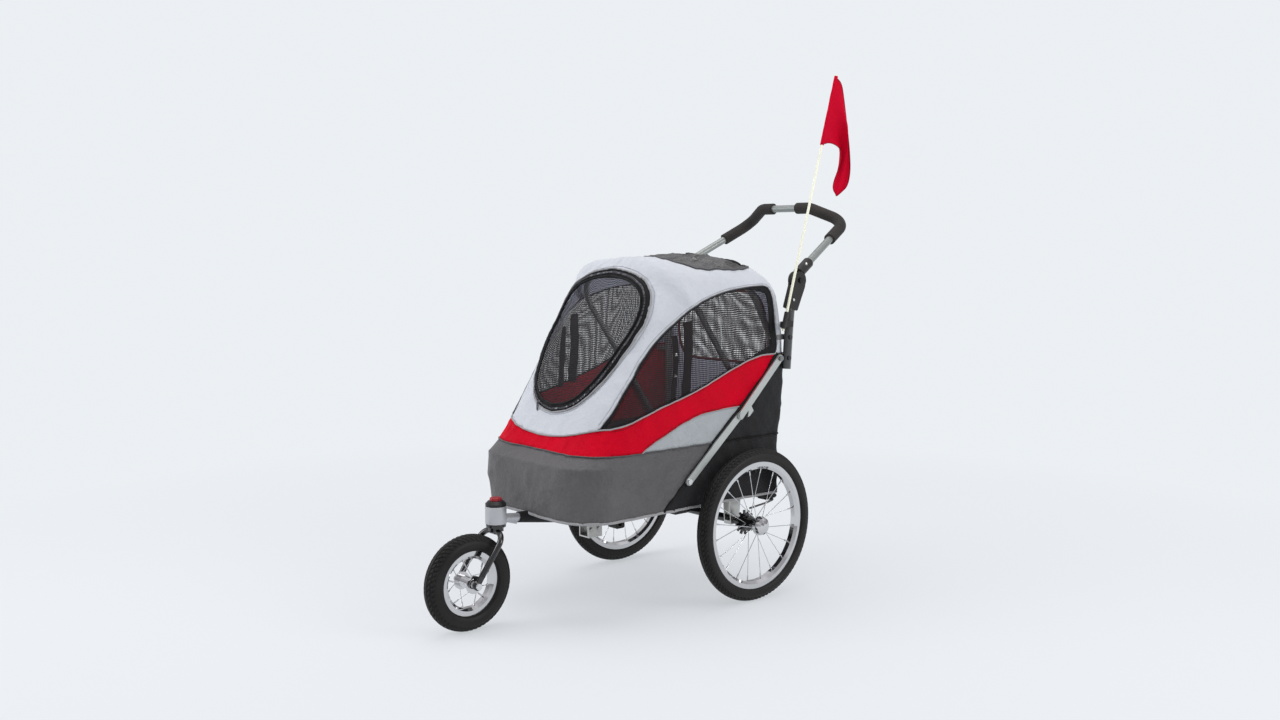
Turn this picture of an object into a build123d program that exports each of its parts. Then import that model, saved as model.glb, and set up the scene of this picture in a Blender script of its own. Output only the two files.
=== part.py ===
from build123d import *
import os
from math import atan2, cos, degrees, hypot, radians, sin

os.makedirs("parts", exist_ok=True)

# Frame: +Z up, front of the stroller towards -Y, ground at Z = 0, millimetres.
# Driving dimensions
rear_axle_y = 184.0
rear_wheel_radius = 203.0
rear_tyre_section = 22.0
half_track = 277.4
front_axle_y = -534.5
front_wheel_radius = 120.0
front_tyre_section = 26.0
head_y = -450.0
head_z = 276.5
cloth = 3.5
seam_z = 428.0
hoop_pivot_y = 312.0
hoop_pivot_z = 440.0
front_hoop_pivot_y = 266.0
stay_foot = (-24.0, 340.0)
stay_knee = (157.0, 493.0)
stay_top = (306.0, 636.0)
knuckle_y = 371.0
knuckle_z = 845.0
rear_spokes = 20
front_spokes = 12
brake_teeth = 12


def save(piece, name):
    piece.part.label = name
    export_step(piece.part, f"parts/{name}.step")


def bent_tube(points, bend, outer, inner=0.0):
    """A round tube along straight runs joined by tangent bends."""
    with BuildPart() as tube:
        with BuildLine() as path:
            FilletPolyline(*points, radius=bend)
        start = Plane(origin=path.line @ 0, z_dir=path.line % 0)
        with BuildSketch(start):
            Circle(outer)
            if inner:
                Circle(inner, mode=Mode.SUBTRACT)
        sweep()
    return tube.part


def side_prism(points, x_from, x_to):
    """A closed outline in Y and Z, filled between two X planes."""
    with BuildPart() as prism:
        with BuildSketch(Plane.YZ.offset(x_from)):
            with BuildLine():
                Polyline(*points, close=True)
            make_face()
        extrude(amount=x_to - x_from)
    return prism.part


def flat_bar(start, end, width, x_from, x_to, hole):
    """A flat bar with round ends and a hole at each end, lying in Y and Z."""
    length = hypot(end[0] - start[0], end[1] - start[1])
    angle = degrees(atan2(end[1] - start[1], end[0] - start[0]))
    middle = ((start[0] + end[0]) / 2, (start[1] + end[1]) / 2)
    with BuildPart() as bar:
        with BuildSketch(Plane.YZ.offset(x_from)):
            with Locations(Location((middle[0], middle[1]), angle)):
                SlotCenterToCenter(length, width)
            with Locations(start, end):
                Circle(hole, mode=Mode.SUBTRACT)
        extrude(amount=x_to - x_from)
    return bar.part


def mirrored(shape):
    """The same shape on the other side of the centre plane."""
    return mirror(shape, about=Plane.YZ)


# ---------------------------------------------------------------- body outline

# height, front, back, half width, front corner radius, back corner radius
sections = [
    (270.0, -357.0, 325.0, 235.0, 108.0, 30.0),
    (400.0, -361.0, 329.0, 238.0, 110.0, 32.0),
    (428.0, -327.0, 332.0, 238.0, 115.0, 34.0),
    (573.0, -240.0, 343.0, 239.0, 140.0, 20.0),
    (720.0, -152.0, 339.0, 239.5, 150.0, 14.0),
    (930.0, -28.0, 335.0, 239.5, 150.0, 14.0),
]


def outline(front, back, half, front_corner, back_corner):
    """The plan outline of the cloth body: straight sides and rounded corners."""
    f, b, h = front, back, half
    p, q = front_corner, back_corner
    k = 1 - cos(radians(45))
    Line((-h + p, f), (h - p, f))
    ThreePointArc((h - p, f), (h - p * k, f + p * k), (h, f + p))
    Line((h, f + p), (h, b - q))
    ThreePointArc((h, b - q), (h - q * k, b - q * k), (h - q, b))
    Line((h - q, b), (-h + q, b))
    ThreePointArc((-h + q, b), (-h + q * k, b - q * k), (-h, b - q))
    Line((-h, b - q), (-h, f + p))
    ThreePointArc((-h, f + p), (-h + p * k, f + p * k), (-h + p, f))


def body_volume(inset, floor_inset):
    """The whole cloth body as one closed volume, drawn in by inset all round."""
    with BuildPart() as volume:
        for number, row in enumerate(sections):
            height = row[0] + (floor_inset if number == 0 else 0.0)
            with BuildSketch(Plane.XY.offset(height)):
                with BuildLine():
                    outline(
                        row[1] + inset,
                        row[2] - inset,
                        row[3] - inset,
                        row[4] - inset,
                        row[5] - inset,
                    )
                make_face()
        loft(ruled=True)
        # roof arch across the width
        with BuildSketch(Plane.XZ.offset(-400)):
            with BuildLine():
                h = 246.0 - inset
                Line((-h, 200), (h, 200))
                Line((h, 200), (h, 770))
                Spline(
                    (h, 770),
                    (226 - inset, 832 - inset * 0.7),
                    (190, 876 - inset),
                    (100, 909 - inset),
                    (0, 918 - inset),
                    (-100, 909 - inset),
                    (-190, 876 - inset),
                    (-226 + inset, 832 - inset * 0.7),
                    (-h, 770),
                )
                Line((-h, 770), (-h, 200))
            make_face()
        extrude(amount=860, mode=Mode.INTERSECT)
        # front to back line of the roof
        with BuildSketch(Plane.YZ.offset(-300)):
            with BuildLine():
                Line((-400, 200), (400, 200))
                Line((400, 200), (400, 600))
                Line((400, 600), (337 - inset, 700))
                Spline(
                    (337 - inset, 700),
                    (327 - inset, 780),
                    (312 - inset, 827),
                    (285 - inset, 862 - inset * 0.5),
                    (243 - inset * 0.5, 893 - inset),
                    (190, 912 - inset),
                    (127, 920 - inset),
                    (40, 918 - inset),
                    (-20, 908 - inset),
                    (-56 + inset * 0.5, 888 - inset),
                    (-90 + inset, 846 - inset * 0.5),
                )
                Line((-90 + inset, 846 - inset * 0.5), (-400, 600))
                Line((-400, 600), (-400, 200))
            make_face()
        extrude(amount=600, mode=Mode.INTERSECT)
    return volume.part


outer_body = body_volume(0.0, 0.0)
inner_body = body_volume(cloth, cloth)
film_outer = body_volume(1.2, 1.2)
film_inner = body_volume(2.2, 2.2)

with BuildPart() as shell:
    add(outer_body)
    add(inner_body, mode=Mode.SUBTRACT)

with BuildPart() as film_shell:
    add(film_outer)
    add(film_inner, mode=Mode.SUBTRACT)

# ---------------------------------------------------------------- base frame

neck_start = Vector(0, head_y + 24, 264.5)
spine_end = Vector(0, rear_axle_y, 205)
slope = (spine_end - neck_start).normalized()
sleeve_length = 156.0
neck_plane = Plane(origin=neck_start, x_dir=(1, 0, 0), z_dir=slope)
sleeve_start = neck_start + slope * 42
spine_start = neck_start + slope * 196
axle_z = rear_wheel_radius
rail_z = 284.0

rail_loop = bent_tube(
    [
        (0, 312, rail_z),
        (216, 312, rail_z),
        (216, -330, rail_z),
        (-216, -330, rail_z),
        (-216, 312, rail_z),
        (-0.5, 312, rail_z),
    ],
    80.0,
    9.0,
)

with BuildPart() as base_frame:
    # spine under the body, from the sleeve to the rear axle
    spine_length = (spine_end - spine_start).length - 12
    with Locations(Plane(origin=spine_start, x_dir=(1, 0, 0), z_dir=slope)):
        Cylinder(15, spine_length, align=(Align.CENTER, Align.CENTER, Align.MIN))
    with Locations((0, 150, 206)):
        Box(60, 46, 22)
    # posts from the spine up to the cross tubes
    for y, low in ((-216, 246), (20, 222)):
        with Locations((0, y, (low + rail_z) / 2)):
            Cylinder(9, rail_z - low)
        with Locations((0, y, rail_z)):
            Cylinder(8, 424, rotation=(0, 90, 0))
    with Locations((0, 184, rail_z)):
        Cylinder(8, 424, rotation=(0, 90, 0))
    add(rail_loop)
    # rear posts carry the hinge plates, side posts carry the stay bolts
    for side in (-1, 1):
        with Locations((side * 214, hoop_pivot_y - 24, 354.5)):
            Cylinder(7, 141)
        with Locations((side * 216, stay_foot[0], 318)):
            Cylinder(7, 68)
        with Locations((side * 224, stay_foot[0], stay_foot[1])):
            Box(14, 20, 20)
        with Locations((side * 223, stay_foot[0], stay_foot[1])):
            Cylinder(4.05, 30, rotation=(0, 90, 0), mode=Mode.SUBTRACT)
    # hangers for the brake bar
    for side in (-1, 1):
        with Locations((side * 150, 302, 266)):
            Box(8, 18, 36)
        with Locations((side * 150, 300, 250)):
            Cylinder(10, 8, rotation=(0, 90, 0))
        with Locations((side * 150, 300, 250)):
            Cylinder(6.1, 20, rotation=(0, 90, 0), mode=Mode.SUBTRACT)

with BuildPart() as steering_head:
    with Locations((0, head_y, head_z)):
        Cylinder(26.5, 45)
        chamfer(edges().filter_by(GeomType.CIRCLE), 1.5)
    with Locations(neck_plane):
        Cylinder(11, 190, align=(Align.CENTER, Align.CENTER, Align.MIN))
    with BuildSketch(Plane.YZ.offset(-2.5)):
        with BuildLine():
            Polyline(
                (head_y + 20, 256),
                (head_y + 60, 244),
                (head_y + 66, 252),
                (head_y + 66, 262),
                (head_y + 20, 264),
                close=True,
            )
        make_face()
    extrude(amount=5)
    with Locations((0, head_y, head_z)):
        Cylinder(8.05, 60, mode=Mode.SUBTRACT)

with BuildPart() as spine_sleeve:
    with Locations(Plane(origin=sleeve_start, x_dir=(1, 0, 0), z_dir=slope)):
        Cone(
            13.5,
            21,
            sleeve_length - 12,
            align=(Align.CENTER, Align.CENTER, Align.MIN),
        )
        Cylinder(
            11.1,
            sleeve_length + 20,
            align=(Align.CENTER, Align.CENTER, Align.CENTER),
            mode=Mode.SUBTRACT,
        )
    with Locations(neck_plane):
        Cylinder(
            11.1,
            230,
            align=(Align.CENTER, Align.CENTER, Align.MIN),
            mode=Mode.SUBTRACT,
        )

with BuildPart() as head_cap:
    with Locations((0, head_y, 299.0)):
        Cylinder(26, 6, align=(Align.CENTER, Align.CENTER, Align.MIN))
    with Locations((0, head_y, 305.0)):
        Cone(26, 19, 7, align=(Align.CENTER, Align.CENTER, Align.MIN))
    fillet(edges().filter_by(GeomType.CIRCLE).group_by(Axis.Z)[-1], 3)
    with Locations((0, head_y, 290)):
        Cylinder(
            8.5, 40, align=(Align.CENTER, Align.CENTER, Align.MIN), mode=Mode.SUBTRACT
        )

with BuildPart() as rear_axle:
    with Locations((0, rear_axle_y, axle_z)):
        Cylinder(11, 460, rotation=(0, 90, 0))
        Cylinder(6, 584, rotation=(0, 90, 0))
        Cylinder(9.5, 471, rotation=(0, 90, 0))
    for side in (-1, 1):
        with Locations((side * 293, rear_axle_y, axle_z)):
            Cylinder(9, 4, rotation=(0, 90, 0))
    with Locations((0, 150, 206)):
        Box(60.2, 46.2, 22.2, mode=Mode.SUBTRACT)

with BuildPart() as axle_brackets:
    for side in (-1, 1):
        with BuildSketch(Plane.YZ.offset(side * 192 - 13)):
            with BuildLine():
                Polyline(
                    (rear_axle_y - 15, 192),
                    (rear_axle_y + 15, 192),
                    (rear_axle_y + 22, 278.0),
                    (rear_axle_y - 22, 278.0),
                    close=True,
                )
            make_face()
        extrude(amount=26)
        with Locations((side * 192, rear_axle_y, 235)):
            Box(20, 60, 66, mode=Mode.SUBTRACT)
        with Locations((side * 192, rear_axle_y, axle_z)):
            Cylinder(11.02, 60, rotation=(0, 90, 0), mode=Mode.SUBTRACT)
        with Locations((side * 192, rear_axle_y, rail_z)):
            Cylinder(8.02, 60, rotation=(0, 90, 0), mode=Mode.SUBTRACT)
    # the two side cheeks of each bracket are joined by a top plate
    for side in (-1, 1):
        with Locations((side * 192, rear_axle_y, 269)):
            Box(26, 40, 5)

with BuildPart() as hinge_plates:
    for side in (-1, 1):
        with BuildSketch(Plane.YZ.offset(side * 214.8 - 1.4)):
            with BuildLine():
                Polyline(
                    (hoop_pivot_y - 60, 425),
                    (hoop_pivot_y + 12, 425),
                    (hoop_pivot_y + 14, 452),
                    (hoop_pivot_y - 58, 452),
                    close=True,
                )
            make_face()
            fillet(vertices(), 6)
            with Locations(
                (hoop_pivot_y, hoop_pivot_z), (front_hoop_pivot_y, hoop_pivot_z)
            ):
                Circle(3.99, mode=Mode.SUBTRACT)
        extrude(amount=2.8)

# Pivot bolts: the hoop bolt runs inwards from its plate and the front hoop bolt outwards.
with BuildPart() as pivot_bolts:
    for side in (-1, 1):
        with Locations((side * 205.25, hoop_pivot_y, hoop_pivot_z)):
            Cylinder(3.98, 20.5, rotation=(0, 90, 0))
        with Locations((side * 218.2, hoop_pivot_y, hoop_pivot_z)):
            Cylinder(7, 4, rotation=(0, 90, 0))
        with Locations((side * 193.0, hoop_pivot_y, hoop_pivot_z)):
            Cylinder(7, 4, rotation=(0, 90, 0))
        with Locations((side * 221, front_hoop_pivot_y, hoop_pivot_z)):
            Cylinder(3.98, 19, rotation=(0, 90, 0))
        with Locations((side * 211.4, front_hoop_pivot_y, hoop_pivot_z)):
            Cylinder(7, 4, rotation=(0, 90, 0))
        with Locations((side * 232.0, front_hoop_pivot_y, hoop_pivot_z)):
            Cylinder(6, 3, rotation=(0, 90, 0))
        # stay foot bolt, through the side post and the cloth
        with Locations((side * 233, stay_foot[0], stay_foot[1])):
            Cylinder(4.0, 32, rotation=(0, 90, 0))
        with Locations((side * 248.8, stay_foot[0], stay_foot[1])):
            Cylinder(7, 4, rotation=(0, 90, 0))

# ---------------------------------------------------------------- lower tub

with BuildPart() as tub:
    add(shell.part)
    with Locations((0, 0, seam_z)):
        Box(
            900,
            1400,
            800,
            align=(Align.CENTER, Align.CENTER, Align.MIN),
            mode=Mode.SUBTRACT,
        )
    # slots in the bottom for the sleeve, posts, brackets and brake hangers
    with Locations((0, -298, 268)):
        Box(50, 146, 22, mode=Mode.SUBTRACT)
    for y in (-216, 20):
        with Locations((0, y, 271)):
            Box(24, 24, 12, mode=Mode.SUBTRACT)
    for side in (-1, 1):
        with Locations((side * 192, rear_axle_y, 271)):
            Box(32, 52, 14, mode=Mode.SUBTRACT)
        with Locations((side * 150, 302, 271)):
            Box(12, 24, 12, mode=Mode.SUBTRACT)
        with Locations((side * 236, stay_foot[0], stay_foot[1])):
            Cylinder(4.6, 16, rotation=(0, 90, 0), mode=Mode.SUBTRACT)

# The floor board lies on the rails and mat on the board.
with BuildPart() as floor_board:
    with BuildSketch(Plane.XY.offset(293.2)):
        with BuildLine():
            outline(-344, 288, 205, 80, 20)
        make_face()
    extrude(amount=5)

with BuildPart() as floor_mat:
    with BuildSketch(Plane.XY.offset(298.2)):
        with BuildLine():
            outline(-338, 282, 201, 76, 20)
        make_face()
    extrude(amount=14)
    fillet(faces().sort_by(Axis.Z)[-1].edges(), 5)

# ---------------------------------------------------------------- tow fitting

with BuildPart() as tow_bracket:
    for side in (-1, 1):
        with Locations((side * 17.5, -150, 206)):
            Box(4, 46, 62)
        for y in (-162, -138):
            with Locations((side * 21.5, y, 196)):
                Cylinder(6, 4, rotation=(0, 90, 0))
    with Locations((0, -150, 177)):
        Box(39, 46, 4)
    with Locations((0, -150, 206)):
        fillet(edges().filter_by(Axis.X).group_by(Axis.Z)[0], 1.5)

with BuildPart() as tow_block:
    with Locations((0, -62, 204)):
        Box(34, 30, 40)
        fillet(edges().filter_by(Axis.X), 5)
    with Locations((0, -62, 196)):
        Cylinder(6.0, 60, rotation=(0, 90, 0), mode=Mode.SUBTRACT)
    with Locations(Plane(origin=spine_start, x_dir=(1, 0, 0), z_dir=slope)):
        Cylinder(
            15.02,
            spine_length,
            align=(Align.CENTER, Align.CENTER, Align.MIN),
            mode=Mode.SUBTRACT,
        )

# ---------------------------------------------------------------- cloth cover

# The red band is bounded in side view by the seam below and a rising curve above.
band_top = [
    (-500, 462),
    (-330, 462),
    (-300, 470),
    (-266, 488),
    (-212, 502),
    (-136, 530),
    (-45, 554),
    (49, 583),
    (147, 621),
    (228, 644),
    (303, 648),
]
panel_top = [(168, 515), (106, 514), (0, 501), (-110, 460), (-180, seam_z)]

red_prism = side_prism(
    band_top + [(290, 622)] + panel_top + [(-500, seam_z)],
    -300,
    300,
)
panel_prism = side_prism(panel_top + [(62, seam_z)], -300, 300)
upper_prism = side_prism(
    band_top + [(500, 648), (500, 1000), (-500, 1000)],
    -300,
    300,
)
rear_line = [
    (500, 648),
    (303, 648),
    (290, 622),
    (168, 515),
    (62, seam_z),
    (500, seam_z),
]

with BuildPart() as above_seam:
    add(shell.part)
    with Locations((0, 0, seam_z)):
        Box(
            900,
            1400,
            800,
            align=(Align.CENTER, Align.CENTER, Align.MAX),
            mode=Mode.SUBTRACT,
        )

with BuildPart() as red_band:
    add(above_seam.part)
    add(red_prism, mode=Mode.INTERSECT)
    for side in (-1, 1):
        with Locations((side * 230, 330, 636)):
            Box(64, 90, 20, mode=Mode.SUBTRACT)

with BuildPart() as side_panels:
    add(above_seam.part)
    add(panel_prism, mode=Mode.INTERSECT)

with BuildPart() as lug_slots:
    for side in (-1, 1):
        for z in (636, 692):
            with Locations((side * 230, 330, z)):
                Box(64, 90, 20)

with BuildPart() as rear_cover:
    add(above_seam.part)
    add(side_prism(rear_line, -300, 300), mode=Mode.INTERSECT)
    add(lug_slots.part, mode=Mode.SUBTRACT)

# Openings in the upper cover: front window, side windows and roof hatch.
# Side cuts reach only the side walls and the roof cut only the roof.
with BuildPart() as front_cut:
    with BuildSketch(Plane.XZ.offset(420)):
        with BuildLine():
            Spline(
                (0, 517),
                (-55, 526),
                (-100, 550),
                (-130, 585),
                (-161, 666),
                (-175, 745),
                (-160, 815),
                (-97, 862),
                (0, 878),
                (97, 862),
                (160, 815),
                (175, 745),
                (161, 666),
                (130, 585),
                (100, 550),
                (55, 526),
                periodic=True,
            )
        make_face()
    extrude(amount=-510)

side_outline = [
    (-260, 493),
    (-236, 528),
    (-190, 584),
    (-144, 642),
    (-100, 686),
    (-53, 732),
    (1, 774),
    (39, 795),
    (103, 815),
    (174, 827),
    (240, 829),
    (276, 826),
    (290, 803),
    (297, 768),
    (300, 716),
    (298, 654),
    (228, 648),
    (147, 625),
    (49, 587),
    (-45, 558),
    (-136, 534),
    (-212, 506),
]
side_cut = side_prism(side_outline, 182, 260)

with BuildPart() as roof_cut:
    with BuildSketch(Plane.XY.offset(842)):
        with BuildLine():
            Polyline(
                (-197, 190),
                (-190, 95),
                (-168, 36),
                (-112, 20),
                (0, 40),
                (112, 20),
                (168, 36),
                (190, 95),
                (197, 190),
                (172, 256),
                (-172, 256),
                close=True,
            )
        make_face()
        fillet(vertices(), 14)
    extrude(amount=120)

with BuildPart() as canopy:
    add(above_seam.part)
    add(upper_prism, mode=Mode.INTERSECT)
    add(front_cut.part, mode=Mode.SUBTRACT)
    add(side_cut, mode=Mode.SUBTRACT)
    add(mirrored(side_cut), mode=Mode.SUBTRACT)
    add(roof_cut.part, mode=Mode.SUBTRACT)
    add(lug_slots.part, mode=Mode.SUBTRACT)

with BuildPart() as front_mesh:
    add(film_shell.part)
    add(front_cut.part, mode=Mode.INTERSECT)

with BuildPart() as side_windows:
    add(film_shell.part)
    add(side_cut, mode=Mode.INTERSECT)
    add(mirrored(side_windows.part))

with BuildPart() as roof_mesh:
    add(film_shell.part)
    add(roof_cut.part, mode=Mode.INTERSECT)

# ---------------------------------------------------------------- rear frame

hoop_bar = bent_tube(
    [
        (-204, hoop_pivot_y, hoop_pivot_z),
        (-204, hoop_pivot_y, 700),
        (-204, 226, 846),
        (204, 226, 846),
        (204, hoop_pivot_y, 700),
        (204, hoop_pivot_y, hoop_pivot_z),
    ],
    62.0,
    9.0,
)

with BuildPart() as rear_hoop:
    add(hoop_bar)
    for side in (-1, 1):
        with Locations((side * 204, hoop_pivot_y, hoop_pivot_z)):
            Cylinder(12, 16, rotation=(0, 90, 0))
        # lugs reach out through the cloth to the uprights
        with Locations((side * 224.5, 316, 636)):
            Box(32, 42, 14)
        with Locations((side * 224.5, 322, 692)):
            Box(32, 34, 14)
        with Locations((side * 246.5, stay_top[0], stay_top[1])):
            Cylinder(4.0, 17, rotation=(0, 90, 0))
        with Locations((side * 256.0, stay_top[0], stay_top[1])):
            Cylinder(7, 4, rotation=(0, 90, 0))
    for side in (-1, 1):
        with Locations((side * 204, hoop_pivot_y, hoop_pivot_z)):
            Cylinder(4.03, 60, rotation=(0, 90, 0), mode=Mode.SUBTRACT)
        for y, z in ((330, 636), (334, 692)):
            with Locations((side * 240, y, z)):
                Cylinder(3.05, 24, rotation=(0, 90, 0), mode=Mode.SUBTRACT)


def upright(side):
    """The silver oval tube outside the cloth, up to the handle knuckle."""
    with BuildPart() as tube:
        with BuildLine() as path:
            FilletPolyline(
                (side * 251, 331, 606),
                (side * 251, 337, 690),
                (side * 251, 344, 765),
                (side * 251, 357, 804),
                radius=60,
            )
        start = Plane(origin=path.line @ 0, x_dir=(1, 0, 0), z_dir=path.line % 0)
        with BuildSketch(start):
            Ellipse(9.5, 14.5)
        sweep()
        for y, z in ((330, 636), (334, 692)):
            with Locations((side * 250, y, z)):
                Cylinder(3.05, 40, rotation=(0, 90, 0), mode=Mode.SUBTRACT)
    return tube.part


with BuildPart() as uprights:
    add(upright(1))
    add(upright(-1))

with BuildPart() as frame_bolts:
    for side in (-1, 1):
        for y, z in ((330, 636), (334, 692)):
            with Locations((side * 247.5, y, z)):
                Cylinder(3, 30, rotation=(0, 90, 0))
            with Locations((side * 263.0, y, z)):
                Cylinder(6, 3, rotation=(0, 90, 0))

# Each knuckle: a lower half on the upright with an outer cheek, an upper half on the handle.
arm_start = (248.0, 383.0, 867.0)
arm_corner = (189.0, 644.0, 1005.0)
bar_corner = (93.0, 597.0, 1047.0)


def knuckle_base(side):
    with BuildPart() as base:
        with BuildSketch(Plane.YZ.offset(side * 250 - 11.5)):
            with BuildLine():
                Polyline(
                    (327, 772),
                    (361, 762),
                    (391, 826),
                    (394, 842),
                    (350, 856),
                    (347, 830),
                    close=True,
                )
            make_face()
            fillet(vertices(), 5)
        extrude(amount=23)
        with Locations((side * 250, knuckle_y, knuckle_z)):
            Cylinder(24, 23, rotation=(0, 90, 0))
        # slot for the upper half
        with Locations((side * 250, knuckle_y, knuckle_z)):
            Cylinder(27, 11, rotation=(0, 90, 0), mode=Mode.SUBTRACT)
        with Locations((side * 250, knuckle_y, knuckle_z)):
            Cylinder(8.05, 60, rotation=(0, 90, 0), mode=Mode.SUBTRACT)
        add(upright(side), mode=Mode.SUBTRACT)
    return base.part


with BuildPart() as knuckle_bases:
    add(knuckle_base(1))
    add(knuckle_base(-1))

handle_path = [
    (arm_start[0], arm_start[1], arm_start[2]),
    arm_corner,
    bar_corner,
    (-bar_corner[0], bar_corner[1], bar_corner[2]),
    (-arm_corner[0], arm_corner[1], arm_corner[2]),
    (-arm_start[0], arm_start[1], arm_start[2]),
]

handle_tube = bent_tube(handle_path, 42.0, 10.5)

with BuildPart() as handle_bar:
    add(handle_tube)
    for side in (-1, 1):
        with Locations((side * 250, knuckle_y, knuckle_z)):
            Cylinder(30, 40, rotation=(0, 90, 0), mode=Mode.SUBTRACT)


def grip(side):
    """Foam grip from the arm round the corner to the cross bar."""
    low = Vector(side * arm_start[0], arm_start[1], arm_start[2])
    high = Vector(side * arm_corner[0], arm_corner[1], arm_corner[2])
    foot = low + (high - low) * 0.644
    with BuildPart() as foam:
        with BuildLine() as path:
            FilletPolyline(
                tuple(foot),
                (side * arm_corner[0], arm_corner[1], arm_corner[2]),
                (side * bar_corner[0], bar_corner[1], bar_corner[2]),
                (side * 48, bar_corner[1], bar_corner[2]),
                radius=42,
            )
        start = Plane(origin=path.line @ 0, z_dir=path.line % 0)
        with BuildSketch(start):
            Circle(16.5)
            Circle(10.6, mode=Mode.SUBTRACT)
        sweep()
    return foam.part


with BuildPart() as handle_grips:
    add(grip(1))
    add(grip(-1))

arm_direction = (Vector(*arm_corner) - Vector(*arm_start)).normalized()


def knuckle_top(side):
    direction = Vector(side * arm_direction.X, arm_direction.Y, arm_direction.Z)
    start = Vector(side * arm_start[0], arm_start[1], arm_start[2])
    with BuildPart() as top:
        with Locations((side * 250, knuckle_y, knuckle_z)):
            Cylinder(23, 10.6, rotation=(0, 90, 0))
        with Locations(
            Plane(origin=start - direction * 8, x_dir=(0, 0, 1), z_dir=direction)
        ):
            Cylinder(15, 62, align=(Align.CENTER, Align.CENTER, Align.MIN))
        with Locations((side * 236.75, knuckle_y, knuckle_z)):
            Cylinder(25, 15.9, rotation=(0, 90, 0), mode=Mode.SUBTRACT)
        with Locations((side * 263.25, knuckle_y, knuckle_z)):
            Cylinder(25, 15.9, rotation=(0, 90, 0), mode=Mode.SUBTRACT)
        with Locations((side * 250, knuckle_y, knuckle_z)):
            Cylinder(8.05, 60, rotation=(0, 90, 0), mode=Mode.SUBTRACT)
        add(handle_bar.part, mode=Mode.SUBTRACT)
    return top.part


with BuildPart() as knuckle_tops:
    add(knuckle_top(1))
    add(knuckle_top(-1))


def lock_button(side):
    """Round push button on the knuckle axis; its core is the hinge pin."""
    with BuildPart() as button:
        with Locations((side * 250, knuckle_y, knuckle_z)):
            Cylinder(8, 24, rotation=(0, 90, 0))
        with Locations((side * 264.5, knuckle_y, knuckle_z)):
            Cylinder(7, 5, rotation=(0, 90, 0))
    return button.part


with BuildPart() as lock_button_right:
    add(lock_button(1))

with BuildPart() as lock_button_left:
    add(lock_button(-1))

# Flag: clip on the right upright, glass fibre pole, drawn cloth pennant.
pole_low = Vector(268, 297, 711)
pole_high = Vector(268, 501, 1401)
pole_direction = (pole_high - pole_low).normalized()
pole_plane = Plane(origin=pole_low, x_dir=(1, 0, 0), z_dir=pole_direction)

with BuildPart() as flag_pole:
    with Locations(pole_plane):
        Cylinder(
            3.6,
            (pole_high - pole_low).length,
            align=(Align.CENTER, Align.CENTER, Align.MIN),
        )

with BuildPart() as flag_clip:
    with Locations(pole_plane.offset(6)):
        Cylinder(6.4, 46, align=(Align.CENTER, Align.CENTER, Align.MIN))
    with Locations((262, 318, 728)):
        Box(6, 46, 16)
    with Locations(pole_plane.offset(-4)):
        Cylinder(
            3.65, 80, align=(Align.CENTER, Align.CENTER, Align.MIN), mode=Mode.SUBTRACT
        )
    add(upright(1), mode=Mode.SUBTRACT)

with BuildPart() as flag:
    with BuildSketch(Plane.YZ.offset(266)):
        with BuildLine():
            Polyline(
                (447, 1222),
                (500, 1400),
                (588, 1206),
                (541, 1078),
                close=True,
            )
        make_face()
    extrude(amount=4)
    with Locations(pole_plane.offset(500)):
        Cylinder(
            3.66, 400, align=(Align.CENTER, Align.CENTER, Align.MIN), mode=Mode.SUBTRACT
        )

# ---------------------------------------------------------------- stays

stay_angle = degrees(atan2(stay_top[1] - stay_knee[1], stay_top[0] - stay_knee[0]))


def stay_upper(side):
    """Upper bar with the catch hook and the capped knee rivet."""
    low, high = (247.2, 251.8) if side > 0 else (-251.8, -247.2)
    unit_y, unit_z = cos(radians(stay_angle)), sin(radians(stay_angle))
    with BuildPart() as bar:
        add(flat_bar(stay_knee, stay_top, 20, low, high, 4.05))
        with BuildSketch(Plane.YZ.offset(low)):
            with BuildLine():
                base_y = stay_knee[0] + unit_y * 26
                base_z = stay_knee[1] + unit_z * 26
                tip_y, tip_z = base_y + 25 * unit_z, base_z - 25 * unit_y
                Polyline(
                    (base_y, base_z),
                    (base_y + 20 * unit_y, base_z + 20 * unit_z),
                    (tip_y + 14 * unit_y, tip_z + 14 * unit_z),
                    (tip_y - 4 * unit_y, tip_z - 4 * unit_z),
                    (tip_y - 12 * unit_y - 4 * unit_z, tip_z - 12 * unit_z + 4 * unit_y),
                    (base_y + 13 * unit_z, base_z - 13 * unit_y),
                    close=True,
                )
            make_face()
        extrude(amount=high - low)
        with Locations((side * 250.5, stay_knee[0], stay_knee[1])):
            Cylinder(7.5, 6.5, rotation=(0, 90, 0))
    return bar.part


def stay_lower(side):
    low, high = (242.3, 246.6) if side > 0 else (-246.6, -242.3)
    return flat_bar(stay_foot, stay_knee, 20, low, high, 4.05)


with BuildPart() as stay_upper_right:
    add(stay_upper(1))

with BuildPart() as stay_upper_left:
    add(stay_upper(-1))

with BuildPart() as stay_lower_right:
    add(stay_lower(1))

with BuildPart() as stay_lower_left:
    add(stay_lower(-1))

# ---------------------------------------------------------------- front hoop

front_bar = bent_tube(
    [
        (-221, front_hoop_pivot_y, hoop_pivot_z),
        (-221, -32, 858),
        (221, -32, 858),
        (221, front_hoop_pivot_y, hoop_pivot_z),
    ],
    120.0,
    7.5,
)

with BuildPart() as front_hoop:
    add(front_bar)
    for side in (-1, 1):
        with Locations((side * 222, front_hoop_pivot_y, hoop_pivot_z)):
            Cylinder(9.5, 12, rotation=(0, 90, 0))
    for side in (-1, 1):
        with Locations((side * 222, front_hoop_pivot_y, hoop_pivot_z)):
            Cylinder(4.03, 60, rotation=(0, 90, 0), mode=Mode.SUBTRACT)
        with Locations((side * 206.5, front_hoop_pivot_y, hoop_pivot_z)):
            Box(20, 30, 30, mode=Mode.SUBTRACT)
        with Locations((side * 239.0, front_hoop_pivot_y, hoop_pivot_z)):
            Box(20, 30, 30, mode=Mode.SUBTRACT)

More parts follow.
